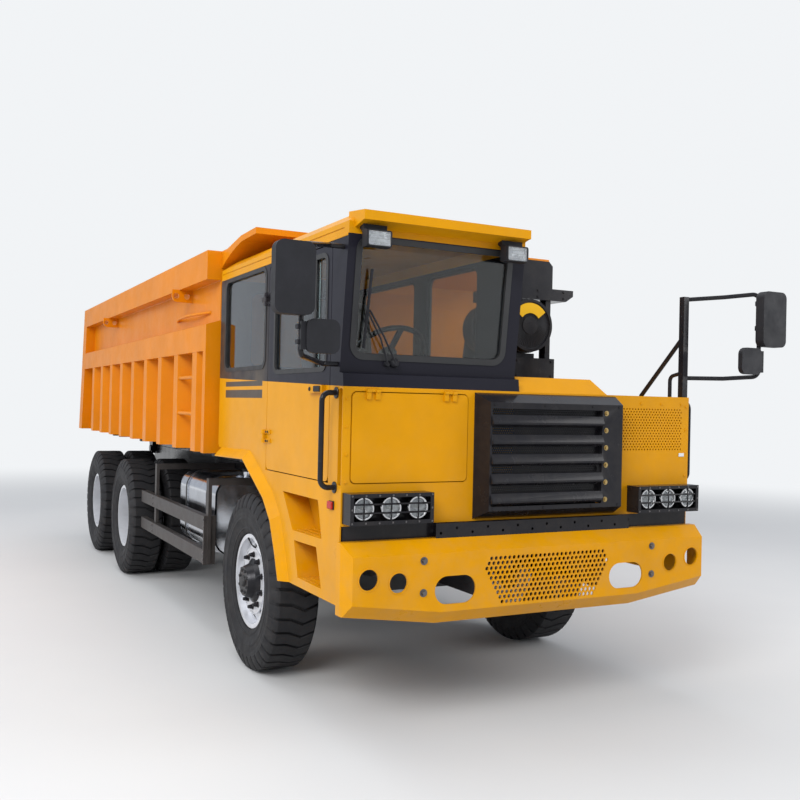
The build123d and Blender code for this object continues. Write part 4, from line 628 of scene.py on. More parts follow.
def turned_copies():
    """Copies of the unit, turned round the X axis."""
    group, source, target = new_group("turned_copies", [
        ("Count", "NodeSocketInt", 10), ("Material", "NodeSocketMaterial", None)])
    line = add(group, "GeometryNodeMeshLine", {"Count": source.outputs["Count"], "Offset": (0, 0, 0)})
    index = add(group, "GeometryNodeInputIndex")
    step = add(group, "ShaderNodeMath", {0: 2 * math.pi, 1: source.outputs["Count"]}, operation="DIVIDE")
    angle = add(group, "ShaderNodeMath", {0: index.outputs[0], 1: step.outputs[0]}, operation="MULTIPLY")
    turn = add(group, "ShaderNodeCombineXYZ", {"X": angle.outputs[0]})
    copies = add(group, "GeometryNodeInstanceOnPoints", {
        "Points": line.outputs[0], "Instance": source.outputs["Geometry"], "Rotation": turn.outputs[0]})
    return finish_group(group, source, target, copies.outputs[0])


def placed_heads():
    """A washer and a head at each vertex, standing along the vertex's 'facing'."""
    group, source, target = new_group("placed_heads", [
        ("Sides", "NodeSocketInt", 6), ("Radius", "NodeSocketFloat", 0.01), ("Height", "NodeSocketFloat", 0.008),
        ("Washer", "NodeSocketFloat", 0.014), ("Material", "NodeSocketMaterial", None)])
    head = add(group, "GeometryNodeMeshCone", {
        "Vertices": source.outputs["Sides"], "Radius Bottom": source.outputs["Radius"],
        "Depth": source.outputs["Height"]})
    top = add(group, "ShaderNodeMath", {0: source.outputs["Radius"], 1: 0.82}, operation="MULTIPLY")
    group.links.new(top.outputs[0], head.inputs["Radius Top"])
    plate = add(group, "GeometryNodeMeshCylinder", {"Vertices": 16, "Radius": source.outputs["Washer"]})
    thin = add(group, "ShaderNodeMath", {0: source.outputs["Height"], 1: 0.36}, operation="MULTIPLY")
    group.links.new(thin.outputs[0], plate.inputs["Depth"])
    both = add(group, "GeometryNodeJoinGeometry")
    group.links.new(head.outputs["Mesh"], both.inputs[0])
    group.links.new(plate.outputs["Mesh"], both.inputs[0])
    facing = add(group, "GeometryNodeInputNamedAttribute", {"Name": "facing"}, data_type="FLOAT_VECTOR")
    turn = add(group, "FunctionNodeAlignRotationToVector", {"Vector": facing.outputs["Attribute"]}, axis="Z")
    copies = add(group, "GeometryNodeInstanceOnPoints", {
        "Points": source.outputs["Geometry"], "Instance": both.outputs[0], "Rotation": turn.outputs[0]})
    return finish_group(group, source, target, copies.outputs[0])


def bored_sheet():
    """Cuts round holes, square to Y, through the mesh."""
    group, source, target = new_group("bored_sheet", [
        ("Holes", "NodeSocketObject", None), ("Radius", "NodeSocketFloat", 0.008),
        ("Depth", "NodeSocketFloat", 0.03), ("Sides", "NodeSocketInt", 10), ("Material", "NodeSocketMaterial", None)])
    centres = add(group, "GeometryNodeObjectInfo", {"Object": source.outputs["Holes"]})
    drill = add(group, "GeometryNodeMeshCylinder", {
        "Vertices": source.outputs["Sides"], "Radius": source.outputs["Radius"], "Depth": source.outputs["Depth"]})
    copies = add(group, "GeometryNodeInstanceOnPoints", {
        "Points": centres.outputs["Geometry"], "Instance": drill.outputs["Mesh"], "Rotation": (math.pi / 2, 0, 0)})
    real = add(group, "GeometryNodeRealizeInstances", {"Geometry": copies.outputs[0]})
    cut = add(group, "GeometryNodeMeshBoolean", operation="DIFFERENCE", solver="MANIFOLD")
    group.links.new(source.outputs["Geometry"], cut.inputs["Mesh 1"])
    group.links.new(real.outputs[0], cut.inputs["Mesh 2"])
    return finish_group(group, source, target, cut.outputs["Mesh"], real=False)


GROUPS = {}


def grown(obj, maker, finish, **values):
    """Runs a node group on an object and keeps its result as a plain mesh."""
    if maker.__name__ not in GROUPS:
        GROUPS[maker.__name__] = maker()
    group = GROUPS[maker.__name__]
    modifier = obj.modifiers.new(group.name, "NODES")
    modifier.node_group = group
    values["Material"] = MATERIALS[finish]
    names = {item.name: item.identifier for item in group.interface.items_tree
             if item.item_type == "SOCKET" and item.in_out == "INPUT"}
    for label, value in values.items():
        modifier[names[label]] = value
    obj.data.update()
    bpy.context.view_layer.update()
    graph = bpy.context.evaluated_depsgraph_get()
    mesh = bpy.data.meshes.new_from_object(obj.evaluated_get(graph))
    obj.modifiers.clear()
    obj.data = mesh
    return mesh


def heads(name, places, finish, body, radius=0.011, height=0.009, washer=0.016, sides=6):
    """Bolt heads on one body; places are (point, facing) pairs."""
    mesh = bpy.data.meshes.new(name)
    mesh.from_pydata([tuple(point) for point, _ in places], [], [])
    facing = mesh.attributes.new("facing", "FLOAT_VECTOR", "POINT")
    facing.data.foreach_set("vector", [c for _, direction in places for c in direction])
    obj = link(name, mesh, finish)
    shade(grown(obj, placed_heads, finish, Radius=radius, Height=height, Washer=washer, Sides=sides), 25)
    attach(obj, body)
    return obj


def bored(node, name, finish, body, centres, radius, depth, sides=10):
    """A copy of a CAD node with rows of round holes that stands for the node."""
    points = bpy.data.meshes.new("holes")
    points.from_pydata([tuple(c) for c in centres], [], [])
    marks = bpy.data.objects.new("holes", points)
    bpy.context.scene.collection.objects.link(marks)
    obj = link(name, merged(node), finish)
    mesh = grown(obj, bored_sheet, finish, Holes=marks, Radius=radius, Depth=depth, Sides=sides)
    bpy.data.objects.remove(marks)
    shade(mesh, 25)
    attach(obj, body)
    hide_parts(node)
    return obj


class TRUCK_OT_finishes(bpy.types.Operator):
    """Make the materials and give every solid its finish"""

    bl_idname = "truck.finishes"
    bl_label = "Finishes"

    def execute(self, context):
        make_materials()
        for name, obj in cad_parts.items():
            if name in NODE_FINISH:
                dress(obj, NODE_FINISH[name])
            elif name.startswith("tyre_"):
                dress(obj, "tyre")
            elif name.startswith("rim_"):
                dress(obj, "rim_" + name.split("_")[1])
            else:
                raise RuntimeError("no finish for " + name)
        return {"FINISHED"}


# ---------------------------------------------------------------- wheels
FRONT_X = 1.0
TWIN_X = (1.085, 0.745)
CARCASS = [(0.108, 0.287), (0.111, 0.305), (0.128, 0.307), (0.135, 0.318), (0.137, 0.331), (0.141, 0.334),
           (0.141, 0.341), (0.139, 0.345), (0.146, 0.370), (0.151, 0.394), (0.1545, 0.400), (0.1545, 0.410),
           (0.1525, 0.414), (0.1550, 0.434), (0.1535, 0.440), (0.1535, 0.447), (0.1555, 0.452), (0.153, 0.478),
           (0.147, 0.503), (0.137, 0.527), (0.119, 0.540), (0.060, 0.543), (0.0, 0.5435)]
CROWN = [(0.000, 0.561), (0.118, 0.5605), (0.128, 0.553), (0.137, 0.536), (0.148, 0.508), (0.157, 0.476)]
LUG_PATH = [(-0.157, 0.0), (-0.120, 0.0), (-0.040, 0.07), (0.045, 0.50), (0.120, 0.16), (0.157, 0.06)]


def reading(table, value):
    """Straight-line reading of a table of pairs."""
    for (a, va), (b, vb) in zip(table, table[1:]):
        if a <= value <= b:
            return va + (vb - va) * (value - a) / (b - a)
    return table[0][1] if value < table[0][0] else table[-1][1]


def lug(outer, centre):
    """One bent tread lug about the X axis; outer is the side of its outer shoulder."""
    shape = Shape()
    pitch = 2 * math.pi / sizes().lugs
    half = (pitch - sizes().groove / WHEEL_RADIUS) / 2
    stations = [-0.157, -0.148, -0.137, -0.128, -0.118, -0.040, 0.045, 0.118, 0.128, 0.137, 0.148, 0.157]
    rings = []
    for v in stations:
        middle = reading(LUG_PATH, v) * pitch
        high = reading(CROWN, abs(v))
        low = high - sizes().lug_depth * 1.6
        ring = []
        for angle, radius, share in ((-half * 1.04, low, 0.93), (-half, high - 0.002, 1.0), (-half * 0.96, high, 1.0),
                                     (half * 0.96, high, 1.0), (half, high - 0.002, 1.0), (half * 1.04, low, 0.93)):
            turn = middle + angle
            ring.append((centre + outer * -v * share, -radius * math.cos(turn), -radius * math.sin(turn)))
        rings.append(ring)
    shape.loops(rings)
    return shape.mesh("lug", 20)


def joined(name, meshes, shift=(0, 0, 0)):
    """Several meshes as one, moved."""
    shape = bmesh.new()
    for mesh in meshes:
        shape.from_mesh(mesh)
    mesh = bpy.data.meshes.new(name)
    shape.to_mesh(mesh)
    shape.free()
    mesh.transform(Matrix.Translation(Vector(shift)))
    return mesh


def tyre_mesh(name, outer, centres):
    """Carcass and lugs of the tyres at some offsets from the origin, axis along X."""
    made = []
    for centre in centres:
        profile = CARCASS + [(-v, r) for v, r in reversed(CARCASS[:-1])]
        carcass = Shape().turned([(centre + v, r) for v, r in profile], (0, 0, 0), (1, 0, 0), 96, closed=True)
        made.append(carcass.mesh("carcass", 40))
        holder = link(name + "_lug", lug(outer, centre), "tyre")
        made.append(grown(holder, turned_copies, "tyre", Count=sizes().lugs))
        bpy.data.objects.remove(holder)
    mesh = joined(name, made)
    shade(mesh, 30)
    return mesh


class TRUCK_OT_tyres(bpy.types.Operator):
    """Lug tyres in place of the plain rings"""

    bl_idname = "truck.tyres"
    bl_label = "Tyres"

    def execute(self, context):
        for axle, station in AXLES:
            for side, k in SIDES:
                node = "tyre_%s_%s" % (axle, side)
                centres = (k * FRONT_X,) if axle == "front" else tuple(k * x for x in TWIN_X)
                mesh = tyre_mesh(node + "_tread", k, centres)
                mesh.transform(Matrix.Translation(at(0, station, WHEEL_RADIUS)))
                obj = piece(node + "_tread", mesh, "tyre", "wheel_%s_%s" % (axle, side))
                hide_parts(node)
        return {"FINISHED"}


def round_places(x, station, radius, count, k, start=0.5):
    """Places round a wheel's axis, facing outboard."""
    places = []
    for index in range(count):
        a = 2 * math.pi * (index + start) / count
        places.append((at(k * x, station + radius * math.cos(a), WHEEL_RADIUS + radius * math.sin(a)), (k, 0, 0)))
    return places


class TRUCK_OT_wheel_fittings(bpy.types.Operator):
    """Wheel nuts, studs, hub bolts, hub caps, valves and the front rims' disc rings"""

    bl_idname = "truck.wheel_fittings"
    bl_label = "Wheel fittings"

    def execute(self, context):
        for axle, station in AXLES:
            for side, k in SIDES:
                body = "wheel_%s_%s" % (axle, side)
                front = axle == "front"
                face = 1.097 if front else 0.927
                places = round_places(face, station, 0.1675, 10, k)
                heads(body + "_nuts", places, "black", body, radius=0.017, height=0.020, washer=0.020)
                ends = [(point + Vector((k * 0.02, 0, 0)), facing) for point, facing in places]
                heads(body + "_studs", ends, "plastic", body, radius=0.0125, height=0.014, washer=0.011, sides=16)
                hub, ring, count = (1.165, 0.072, 8) if front else (1.115, 0.052, 8)
                heads(body + "_hub_bolts", round_places(hub, station, ring, count, k), "cast", body,
                      radius=0.0095, height=0.009, washer=0.0125)
                cap = Shape().turned([(0, 0.0), (0, 0.036), (0.006, 0.036), (0.008, 0.033), (0.016, 0.030),
                                      (0.019, 0.022),
                                      (0.020, 0.0)], at(k * (hub - 0.002), station, WHEEL_RADIUS), (k, 0, 0), 28)
                piece(body + "_hub_cap", cap, "cast", body)
                centre = at(k * face, station, WHEEL_RADIUS)
                root = centre + Vector((-k * 0.012, 0, 0.212))
                stem = Shape().tube([root, root + Vector((k * 0.012, 0, 0.004)), root + Vector((k * 0.03, 0, 0.022)),
                                     root + Vector((k * 0.045, 0, 0.05))], 0.0045, 8)
                tip = root + Vector((k * 0.045, 0, 0.05))
                stem.bar(tip, tip + Vector((k * 0.008, 0, 0.016)), 0.0065, 10, 0.001)
                piece(body + "_valve", stem, "plastic", body)
                if front:
                    lip = Shape().turned([(0, 0.206), (0, 0.212), (0.006, 0.212), (0.006, 0.206)],
                                         at(k * (face - 0.002), station, WHEEL_RADIUS), (k, 0, 0), 72, closed=True)
                    piece(body + "_disc_ring", lip, "rim_front", body)
        return {"FINISHED"}


# ---------------------------------------------------------------- nose
BUMPER_ROWS = 10
BUMPER_TOP_ROW = 0.917
BUMPER_MIDDLE = 0.0243


class TRUCK_OT_bumper(bpy.types.Operator):
    """Perforated bumper with its bolts and hole rims"""

    bl_idname = "truck.bumper"
    bl_label = "Bumper"

    def execute(self, context):
        s = sizes()
        centres = []
        for row in range(BUMPER_ROWS):
            count = 27 + row if row < 3 else 31 - row
            for column in range(count):
                x = (column - (count - 1) / 2) * s.bumper_pitch
                centres.append(at(BUMPER_MIDDLE + x, 0.005, BUMPER_TOP_ROW - row * 0.9 * s.bumper_pitch))
        bored("front_bumper", "bumper_plate", "body", "truck", centres, s.bumper_hole, 0.028, 12)
        places = [(at(x, 0, z), (0, -1, 0)) for x in (-0.757, 0.757) for z in (0.928, 0.766)]
        heads("bumper_bolts", places, "steel", "truck", radius=0.014, height=0.012, washer=0.021)
        for index, (x, z, radius) in enumerate(((1.066, 0.851, 0.052), (-1.066, 0.851, 0.052), (0.900, 0.825, 0.050),
                                                (-0.900, 0.825, 0.050))):
            ring = Shape().turned([(0, radius), (0, radius + 0.007), (0.004, radius + 0.006), (0.0045, radius + 0.001),
                                   (0.003, radius)], at(x, 0.001, z), (0, -1, 0), 40, closed=True)
            piece("bumper_rim_%d" % index, ring, "body", "truck")
        return {"FINISHED"}


FASCIA_FACE = 0.139
FASCIA_ROWS = 16
FASCIA_COLUMNS = 24


class TRUCK_OT_nose(bpy.types.Operator):
    """Perforated fascia panel, its marker and bolts, and the flanges of the grab handles"""

    bl_idname = "truck.nose"
    bl_label = "Nose"

    def execute(self, context):
        s = sizes()
        centres = []
        for row in range(FASCIA_ROWS):
            z = 1.481 + row * 0.016
            for column in range(FASCIA_COLUMNS):
                x = 0.596 + (column + 0.5 * (row % 2)) * 0.022
                if x < 1.112:
                    centres.append(at(x, FASCIA_FACE, z))
        bored("nose_fascia", "fascia_sheet", "body", "truck", centres, s.fascia_hole, 0.03, 8)
        marker = Shape()
        marker.box(at(1.086, 0.135, 1.437), at(1.128, 0.1395, 1.458), 0.0015)
        piece("fascia_marker", marker, "white", "truck")
        places = [(at(x, FASCIA_FACE, 1.755), (0, -1, 0)) for x in (0.62, 0.78, 0.94, 1.10)]
        places += [(at(x, FASCIA_FACE, z), (0, -1, 0)) for x in (-1.14, 1.14) for z in (1.32, 1.46, 1.60, 1.74)]
        heads("fascia_bolts", places, "body", "truck", radius=0.008, height=0.005, washer=0.012)
        for side, k in SIDES:
            tube = Shape()
            for z in (1.29, 1.77):
                tube.turned([(0, 0.014), (0, 0.030), (0.005, 0.030), (0.007, 0.026), (0.007, 0.014)],
                            at(k * 1.1633, 0.220, z), (k, 0, 0), 24, closed=True)
            piece("handle_flanges_" + side, tube, "black", "truck")
        return {"FINISHED"}


LOUVRES = 5
LOUVRE_FIRST = 1.1885
LOUVRE_PITCH = 0.105
LOUVRE_HEIGHT = 0.065
MESH_EDGE = -0.338
MESH_WIDTH = 0.740


class TRUCK_OT_grille(bpy.types.Operator):
    """Mesh strips between the louvres, folded blade ends, bolts, rivets and the bored strip below"""

    bl_idname = "truck.grille"
    bl_label = "Grille"

    def execute(self, context):
        s = sizes()
        pitch = s.mesh_pitch
        columns = int(MESH_WIDTH / pitch)
        centres = []
        for louvre in range(LOUVRES):
            low = LOUVRE_FIRST + louvre * LOUVRE_PITCH + LOUVRE_HEIGHT
            for row in range(3):
                for column in range(columns):
                    x = MESH_EDGE + (column + 0.5 * (row % 2)) * pitch
                    centres.append(at(x, 0.067, low + 0.0075 + row * pitch))
        bored("radiator_grille", "grille_sheet", "black", "truck", centres, 0.0042, 0.012, 8)
        places = [(at(0.428, 0.030, 1.205 + 0.0975 * i), (0, -1, 0)) for i in range(6)]
        heads("grille_bolts", places, "brass", "truck", radius=0.0105, height=0.009, washer=0.015)
        places = [(at(x, 0.030, z), (0, -1, 0)) for x in (-0.33, 0.0, 0.33, 0.52) for z in (1.172, 1.728)]
        heads("grille_rivets", places, "black", "truck", radius=0.007, height=0.004, washer=0.008, sides=12)
        for louvre in range(LOUVRES):
            low = LOUVRE_FIRST + louvre * LOUVRE_PITCH
            fold = Shape()
            outline = [(0.0105, low + 0.016), (0.0105, low + 0.028), (0.030, low + 0.0665), (0.040, low + 0.0665),
                       (0.040, low - 0.001), (0.030, low + 0.002)]
            fold.prism(outline, at(-0.3405, 0, 0), (-0.0035, 0, 0), (0, 1, 0), (0, 0, 1))
            piece("louvre_end_%d" % louvre, fold, "black", "truck")
        strip = Shape()
        strip.box(at(-0.64, 0.088, 1.024), at(0.66, 0.092, 1.1015), 0.001)
        obj = link("lower_strip", strip.mesh("lower_strip"), "black")
        holes = bpy.data.meshes.new("holes")
        holes.from_pydata([tuple(at(-0.61 + 0.097 * i, 0.09, 1.050 + 0.024 * (i % 2))) for i in range(14)], [], [])
        marks = link("holes", holes, "black")
        mesh = grown(obj, bored_sheet, "black", Holes=marks, Radius=0.008, Depth=0.02, Sides=10)
        bpy.data.objects.remove(marks)
        shade(mesh, 25)
        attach(obj, "truck")
        return {"FINISHED"}


LAMP_XS = (0.770, 0.924, 1.077)
LAMP_Z = 1.195
LAMP_BOX_X, LAMP_BOX_Z = 0.920, 1.1925
WORK_LAMPS = (-1.043, -0.221)


class TRUCK_OT_lamps(bpy.types.Operator):
    """Headlamps with bowl, bulb, bezel and ribbed lens; work lamps, side markers and lamp box frames"""

    bl_idname = "truck.lamps"
    bl_label = "Lamps"

    def execute(self, context):
        lenses = Shape()
        bowls = Shape()
        bezels = Shape()
        bulbs = Shape()
        for side, k in SIDES:
            for x in LAMP_XS:
                centre = at(k * x, 0, LAMP_Z)
                bowls.turned([(0.058, 0.050), (0.072, 0.044), (0.090, 0.030), (0.100, 0.012), (0.104, 0.0),
                              (0.108, 0.0),
                              (0.104, 0.014), (0.094, 0.034), (0.075, 0.049), (0.060, 0.054)], centre, (0, 1, 0), 36)
                bezels.turned([(0.056, 0.046), (0.049, 0.049), (0.049, 0.056), (0.056, 0.060), (0.070, 0.060),
                               (0.070, 0.055), (0.060, 0.0535)], centre, (0, 1, 0), 40, closed=True)
                lenses.turned([(0.0515, 0.0), (0.053, 0.022), (0.057, 0.040), (0.059, 0.0465), (0.062, 0.0465),
                               (0.060, 0.040), (0.056, 0.022), (0.0545, 0.0)], centre, (0, 1, 0), 40)
                bulbs.bar(centre + Vector((0, 0.066, 0)), centre + Vector((0, 0.106, 0)), 0.007, 14, 0.003)
        for x in WORK_LAMPS:
            bowls.box(at(x - 0.061, 0.0105, 2.501), at(x + 0.061, 0.0150, 2.571), 0.002)
            for z in (2.516, 2.536, 2.556):
                bulbs.bar(at(x - 0.05, 0.0102, z), at(x + 0.05, 0.0102, z), 0.0012, 8)
            lenses.box(at(x - 0.062, 0.0035, 2.500), at(x + 0.062, 0.0085, 2.572), 0.002)
        obj = piece("lamp_lenses", lenses, "lens", "truck")
        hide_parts("lamps")
        piece("lamp_bowls", bowls, "reflector", "truck")
        piece("lamp_bezels", bezels, "chrome", "truck")
        piece("lamp_bulbs", bulbs, "white", "truck")
        housing = Shape()
        for x in WORK_LAMPS:
            outline = [(0.017, 2.495), (0.0145, 2.500), (0.0145, 2.572), (0.018, 2.576), (0.060, 2.588),
                       (0.060, 2.611), (0.100, 2.602), (0.100, 2.590), (0.072, 2.575), (0.072, 2.500), (0.066, 2.495)]
            housing.prism(outline, at(x - 0.066, 0, 0), (0.132, 0, 0), (0, 1, 0), (0, 0, 1))
            for i in range(6):
                housing.box(at(x - 0.058 + 0.022 * i, 0.070, 2.510), at(x - 0.054 + 0.022 * i, 0.079, 2.566), 0.0008)
        piece("work_lamp_housings", housing, "plastic", "truck")
        frames = Shape()
        for x in WORK_LAMPS:
            outer = upright(x, 0.0085, 2.536, rounded_outline(-0.0665, 0.0665, -0.041, 0.041, 0.012))
            inner = upright(x, 0.0085, 2.536, rounded_outline(-0.0615, 0.0615, -0.036, 0.036, 0.008))
            frames.band(outer, inner, (0, -0.0075, 0))
        piece("work_lamp_frames", frames, "plastic", "truck")
        for side, k in SIDES:
            base = Shape()
            base.box(at(k * 1.1628, 0.219, 1.175), at(k * 1.169, 0.281, 1.219), 0.003)
            piece("marker_base_" + side, base, "plastic", "truck")
            dome = Shape()
            dome.box(at(k * 1.168, 0.221, 1.177), at(k * 1.181, 0.279, 1.217), 0.006)
            piece("marker_" + side, dome, "red", "truck")
        frames = Shape()
        rivets = []
        for side, k in SIDES:
            outer = upright(k * LAMP_BOX_X, 0.041, LAMP_BOX_Z, rounded_outline(-0.236, 0.236, -0.0785, 0.0785, 0.004))
            inner = upright(k * LAMP_BOX_X, 0.041, LAMP_BOX_Z, rounded_outline(-0.216, 0.216, -0.0585, 0.0585, 0.004))
            frames.band(outer, inner, (0, -0.004, 0))
            for x in LAMP_XS:
                frames.bar(at(k * x, 0.046, 1.125), at(k * x, 0.046, 1.262), 0.004, 10)
            for i in range(7):
                for z in (1.1245, 1.2605):
                    rivets.append((at(k * (0.694 + 0.0753 * i), 0.037, z), (0, -1, 0)))
            for x in (0.694, 1.146):
                rivets.append((at(k * x, 0.037, LAMP_BOX_Z), (0, -1, 0)))
        piece("lamp_box_frames", frames, "black", "truck")
        heads("lamp_box_rivets", rivets, "steel", "truck", radius=0.0042, height=0.0035, washer=0.0055, sides=10)
        return {"FINISHED"}


# ---------------------------------------------------------------- cab
CAB_RIGHT = -1.163
CAB_LEFT = -0.100
MIRROR_FACE = -0.1138
SCREEN_LOW = Vector((0, 0.190, 1.875))
SCREEN_HIGH = Vector((0, 0.110, 2.568))


def screen_point(x, z, out=0.0):
    """A point on the leaning windscreen wall, some distance in front of it."""
    rise = SCREEN_HIGH - SCREEN_LOW
    foot = SCREEN_LOW + rise * ((z - SCREEN_LOW.z) / rise.z)
    normal = Vector((0, -rise.z, rise.y)).normalized()
    return at(x, foot.y, foot.z) + normal * out


def seal(name, outline, inner, place, depth, body):
    """A rounded rubber frame round a window; place maps (u, v) to a point."""
    shape = Shape()
    shape.band([place(u, v) for u, v in outline], [place(u, v) for u, v in inner], depth)
    return piece(name, shape, "rubber", body)


def framed(u0, u1, v0, v1, radius, out=0.014, inward=0.012):
    """Outer and inner outlines of a window seal that laps its opening."""
    return (rounded_outline(u0 - out, u1 + out, v0 - out, v1 + out, radius + out),
            rounded_outline(u0 + inward, u1 - inward, v0 + inward, v1 - inward, radius - inward))


def mirror_ring(k, head, inset, radius):
    """An outline on a mirror head's face, some distance inside its edge."""
    x0, x1, z0, z1 = head
    outline = rounded_outline(x0 + inset, x1 - inset, z0 + inset, z1 - inset, radius)
    return [at(k * u, MIRROR_FACE, v) for u, v in outline]


class TRUCK_OT_cab(bpy.types.Operator):
    """Window seals, wiper, door handle and hinge bolts, mirror glasses and clamps, drip rails and roof ribs"""

    bl_idname = "truck.cab"
    bl_label = "Cab"

    def execute(self, context):
        rise = (SCREEN_HIGH - SCREEN_LOW).normalized()
        normal = Vector((0, -rise.z, rise.y))
        outer, inner = framed(-1.100, -0.195, 1.960, 2.548, 0.060, 0.018, 0.016)
        seal("screen_seal", outer, inner, lambda u, v: screen_point(u, min(v, 2.562), -0.012), normal * 0.017, "truck")
        outer, inner = framed(1.330, 2.160, 1.931, 2.540, 0.060)
        for tag, x, out in (("right", CAB_RIGHT, -1), ("left", CAB_LEFT, 1)):
            seal("side_seal_" + tag, outer, inner, lambda u, v, x=x, out=out: at(x - out * 0.012, u, v),
                 (out * 0.016, 0, 0), "truck")
        outer, inner = framed(0.550, 1.160, 1.931, 2.540, 0.060)
        seal("left_front_seal", outer, inner, lambda u, v: at(CAB_LEFT - 0.012, u, v), (0.016, 0, 0), "truck")
        outer, inner = framed(0.370, 1.160, 1.895, 2.495, 0.050)
        seal("door_seal", outer, inner, lambda u, v: at(CAB_RIGHT + 0.012, u, v), (-0.016, 0, 0), "door_right")
        outer, inner = framed(-0.950, -0.330, 1.960, 2.500, 0.060)
        seal("rear_seal", outer, inner, lambda u, v: at(u, 2.263, v), (0, 0.016, 0), "truck")
        bar = Shape()
        bar.box(at(CAB_RIGHT - 0.003, 0.521, 1.900), at(CAB_RIGHT + 0.022, 0.549, 2.490), 0.003)
        piece("quarter_bar", bar, "rubber", "door_right")
        handle = Shape()
        handle.box(at(-1.1865, 0.385, 1.776), at(-1.1925, 0.470, 1.806), 0.004)
        handle.bar(at(-1.185, 0.530, 1.791), at(-1.1905, 0.530, 1.791), 0.011, 24, 0.002)
        piece("handle_cover", handle, "plastic", "door_right")
        places = [(at(-1.1805, y, z + dz), (-1, 0, 0))
                  for z in (1.509, 2.341) for dz in (-0.0275, 0.0275) for y in (1.205, 1.235)]
        heads("door_hinge_bolts", places, "black", "door_right", radius=0.006, height=0.004, washer=0.008)
        root = screen_point(-0.860, 1.932, 0.0)
        wiper = Shape()
        wiper.turned([(0, 0.0), (0, 0.026), (0.010, 0.026), (0.022, 0.019), (0.030, 0.012), (0.030, 0.0)], root,
                     normal, 24)
        tip = screen_point(-1.030, 2.191, 0.030)
        wiper.tube([root + normal * 0.026, (root + tip) / 2 + normal * 0.026, tip], 0.0055, 8)
        second = screen_point(-0.905, 1.925, 0.0)
        wiper.turned([(0, 0.0), (0, 0.016), (0.018, 0.014), (0.026, 0.009), (0.026, 0.0)], second, normal, 20)
        wiper.tube([second + normal * 0.024, (second + tip) / 2 + normal * 0.026, tip + Vector((-0.018, 0, 0.004))],
                   0.0045, 8)
        low = screen_point(-1.046, 2.000, 0.012)
        high = screen_point(-1.028, 2.400, 0.012)
        for out, radius in ((0.010, 0.0045), (0.0, 0.0075)):
            wiper.tube([low + normal * out, (low + high) / 2 + normal * out, high + normal * out], radius, 8)
        wiper.bar(tip + normal * -0.002, tip - normal * 0.020, 0.006, 10)
        piece("wiper", wiper, "plastic", "truck")
        glass = Shape()
        rims = Shape()
        for _, k in SIDES:
            for head in ((1.450, 1.644, 2.115, 2.450), (1.308, 1.476, 1.945, 2.105)):
                face = mirror_ring(k, head, 0.010, 0.03)
                glass.loops([face, [p + Vector((0, 0.003, 0)) for p in face]])
                rims.band(mirror_ring(k, head, 0.002, 0.038), mirror_ring(k, head, 0.011, 0.029), (0, 0.007, 0))
        piece("mirror_glasses", glass, "mirror", "truck")
        piece("mirror_rims", rims, "plastic", "truck")
        clamps = Shape()
        for _, k in SIDES:
            for z in (2.215, 2.365):
                clamps.box(at(k * 1.468, -0.117, z), at(k * 1.512, -0.083, z + 0.030), 0.003)
                clamps.bar(at(k * 1.505, -0.083, z + 0.015), at(k * 1.505, -0.075, z + 0.015), 0.007, 6)
            for z in (1.985, 2.055):
                clamps.box(at(k * 1.470, -0.117, z), at(k * 1.512, -0.083, z + 0.022), 0.003)
        piece("mirror_clamps", clamps, "plastic", "truck")
        rails = Shape()
        rails.box(at(-1.1665, 0.120, 2.556), at(-1.1605, 2.270, 2.572), 0.002)
        rails.box(at(-0.1035, 0.120, 2.556), at(-0.0965, 2.270, 2.572), 0.002)
        rails.box(at(-1.160, 2.272, 2.556), at(-0.103, 2.278, 2.572), 0.002)
        piece("drip_rails", rails, "body", "truck")
        seam = Shape()
        for y in (0.60, 1.15, 1.70):
            seam.box(at(-1.078, y - 0.010, 2.688), at(-0.185, y + 0.010, 2.694), 0.002)
        piece("roof_ribs", seam, "body", "truck")
        return {"FINISHED"}


SEAT_X = -0.640
SEAT_Y = 1.150


def cushion(shape, low, high, dome=0.014, ease=0.03, cells=8, axis=2, face=1):
    """A stuffed block: rounded all round, domed on one side, with two stitched grooves."""
    low, high = Vector(low), Vector(high)
    middle = (low + high) / 2
    half = (high - low) / 2
    bmesh.ops.create_cube(shape.bm, size=2)
    bmesh.ops.subdivide_edges(shape.bm, edges=shape.bm.edges[:], cuts=cells, use_grid_fill=True)
    for vert in shape.bm.verts:
        unit = vert.co.copy()
        point = Vector([unit[i] * half[i] for i in range(3)])
        core = Vector([max(-(half[i] - ease), min(half[i] - ease, point[i])) for i in range(3)])
        away = point - core
        if away.length > 1e-9:
            reach = min(ease, max(abs(c) for c in away))
            point = core + away.normalized() * reach
        others = [i for i in range(3) if i != axis]
        swell = (1 - unit[others[0]] ** 2) * (1 - unit[others[1]] ** 2)
        if unit[axis] * face > 0.2:
            groove = math.exp(-((abs(unit[0]) - 0.46) / 0.05) ** 2)
            point[axis] += face * (dome * swell - 0.010 * groove)
        vert.co = point + middle


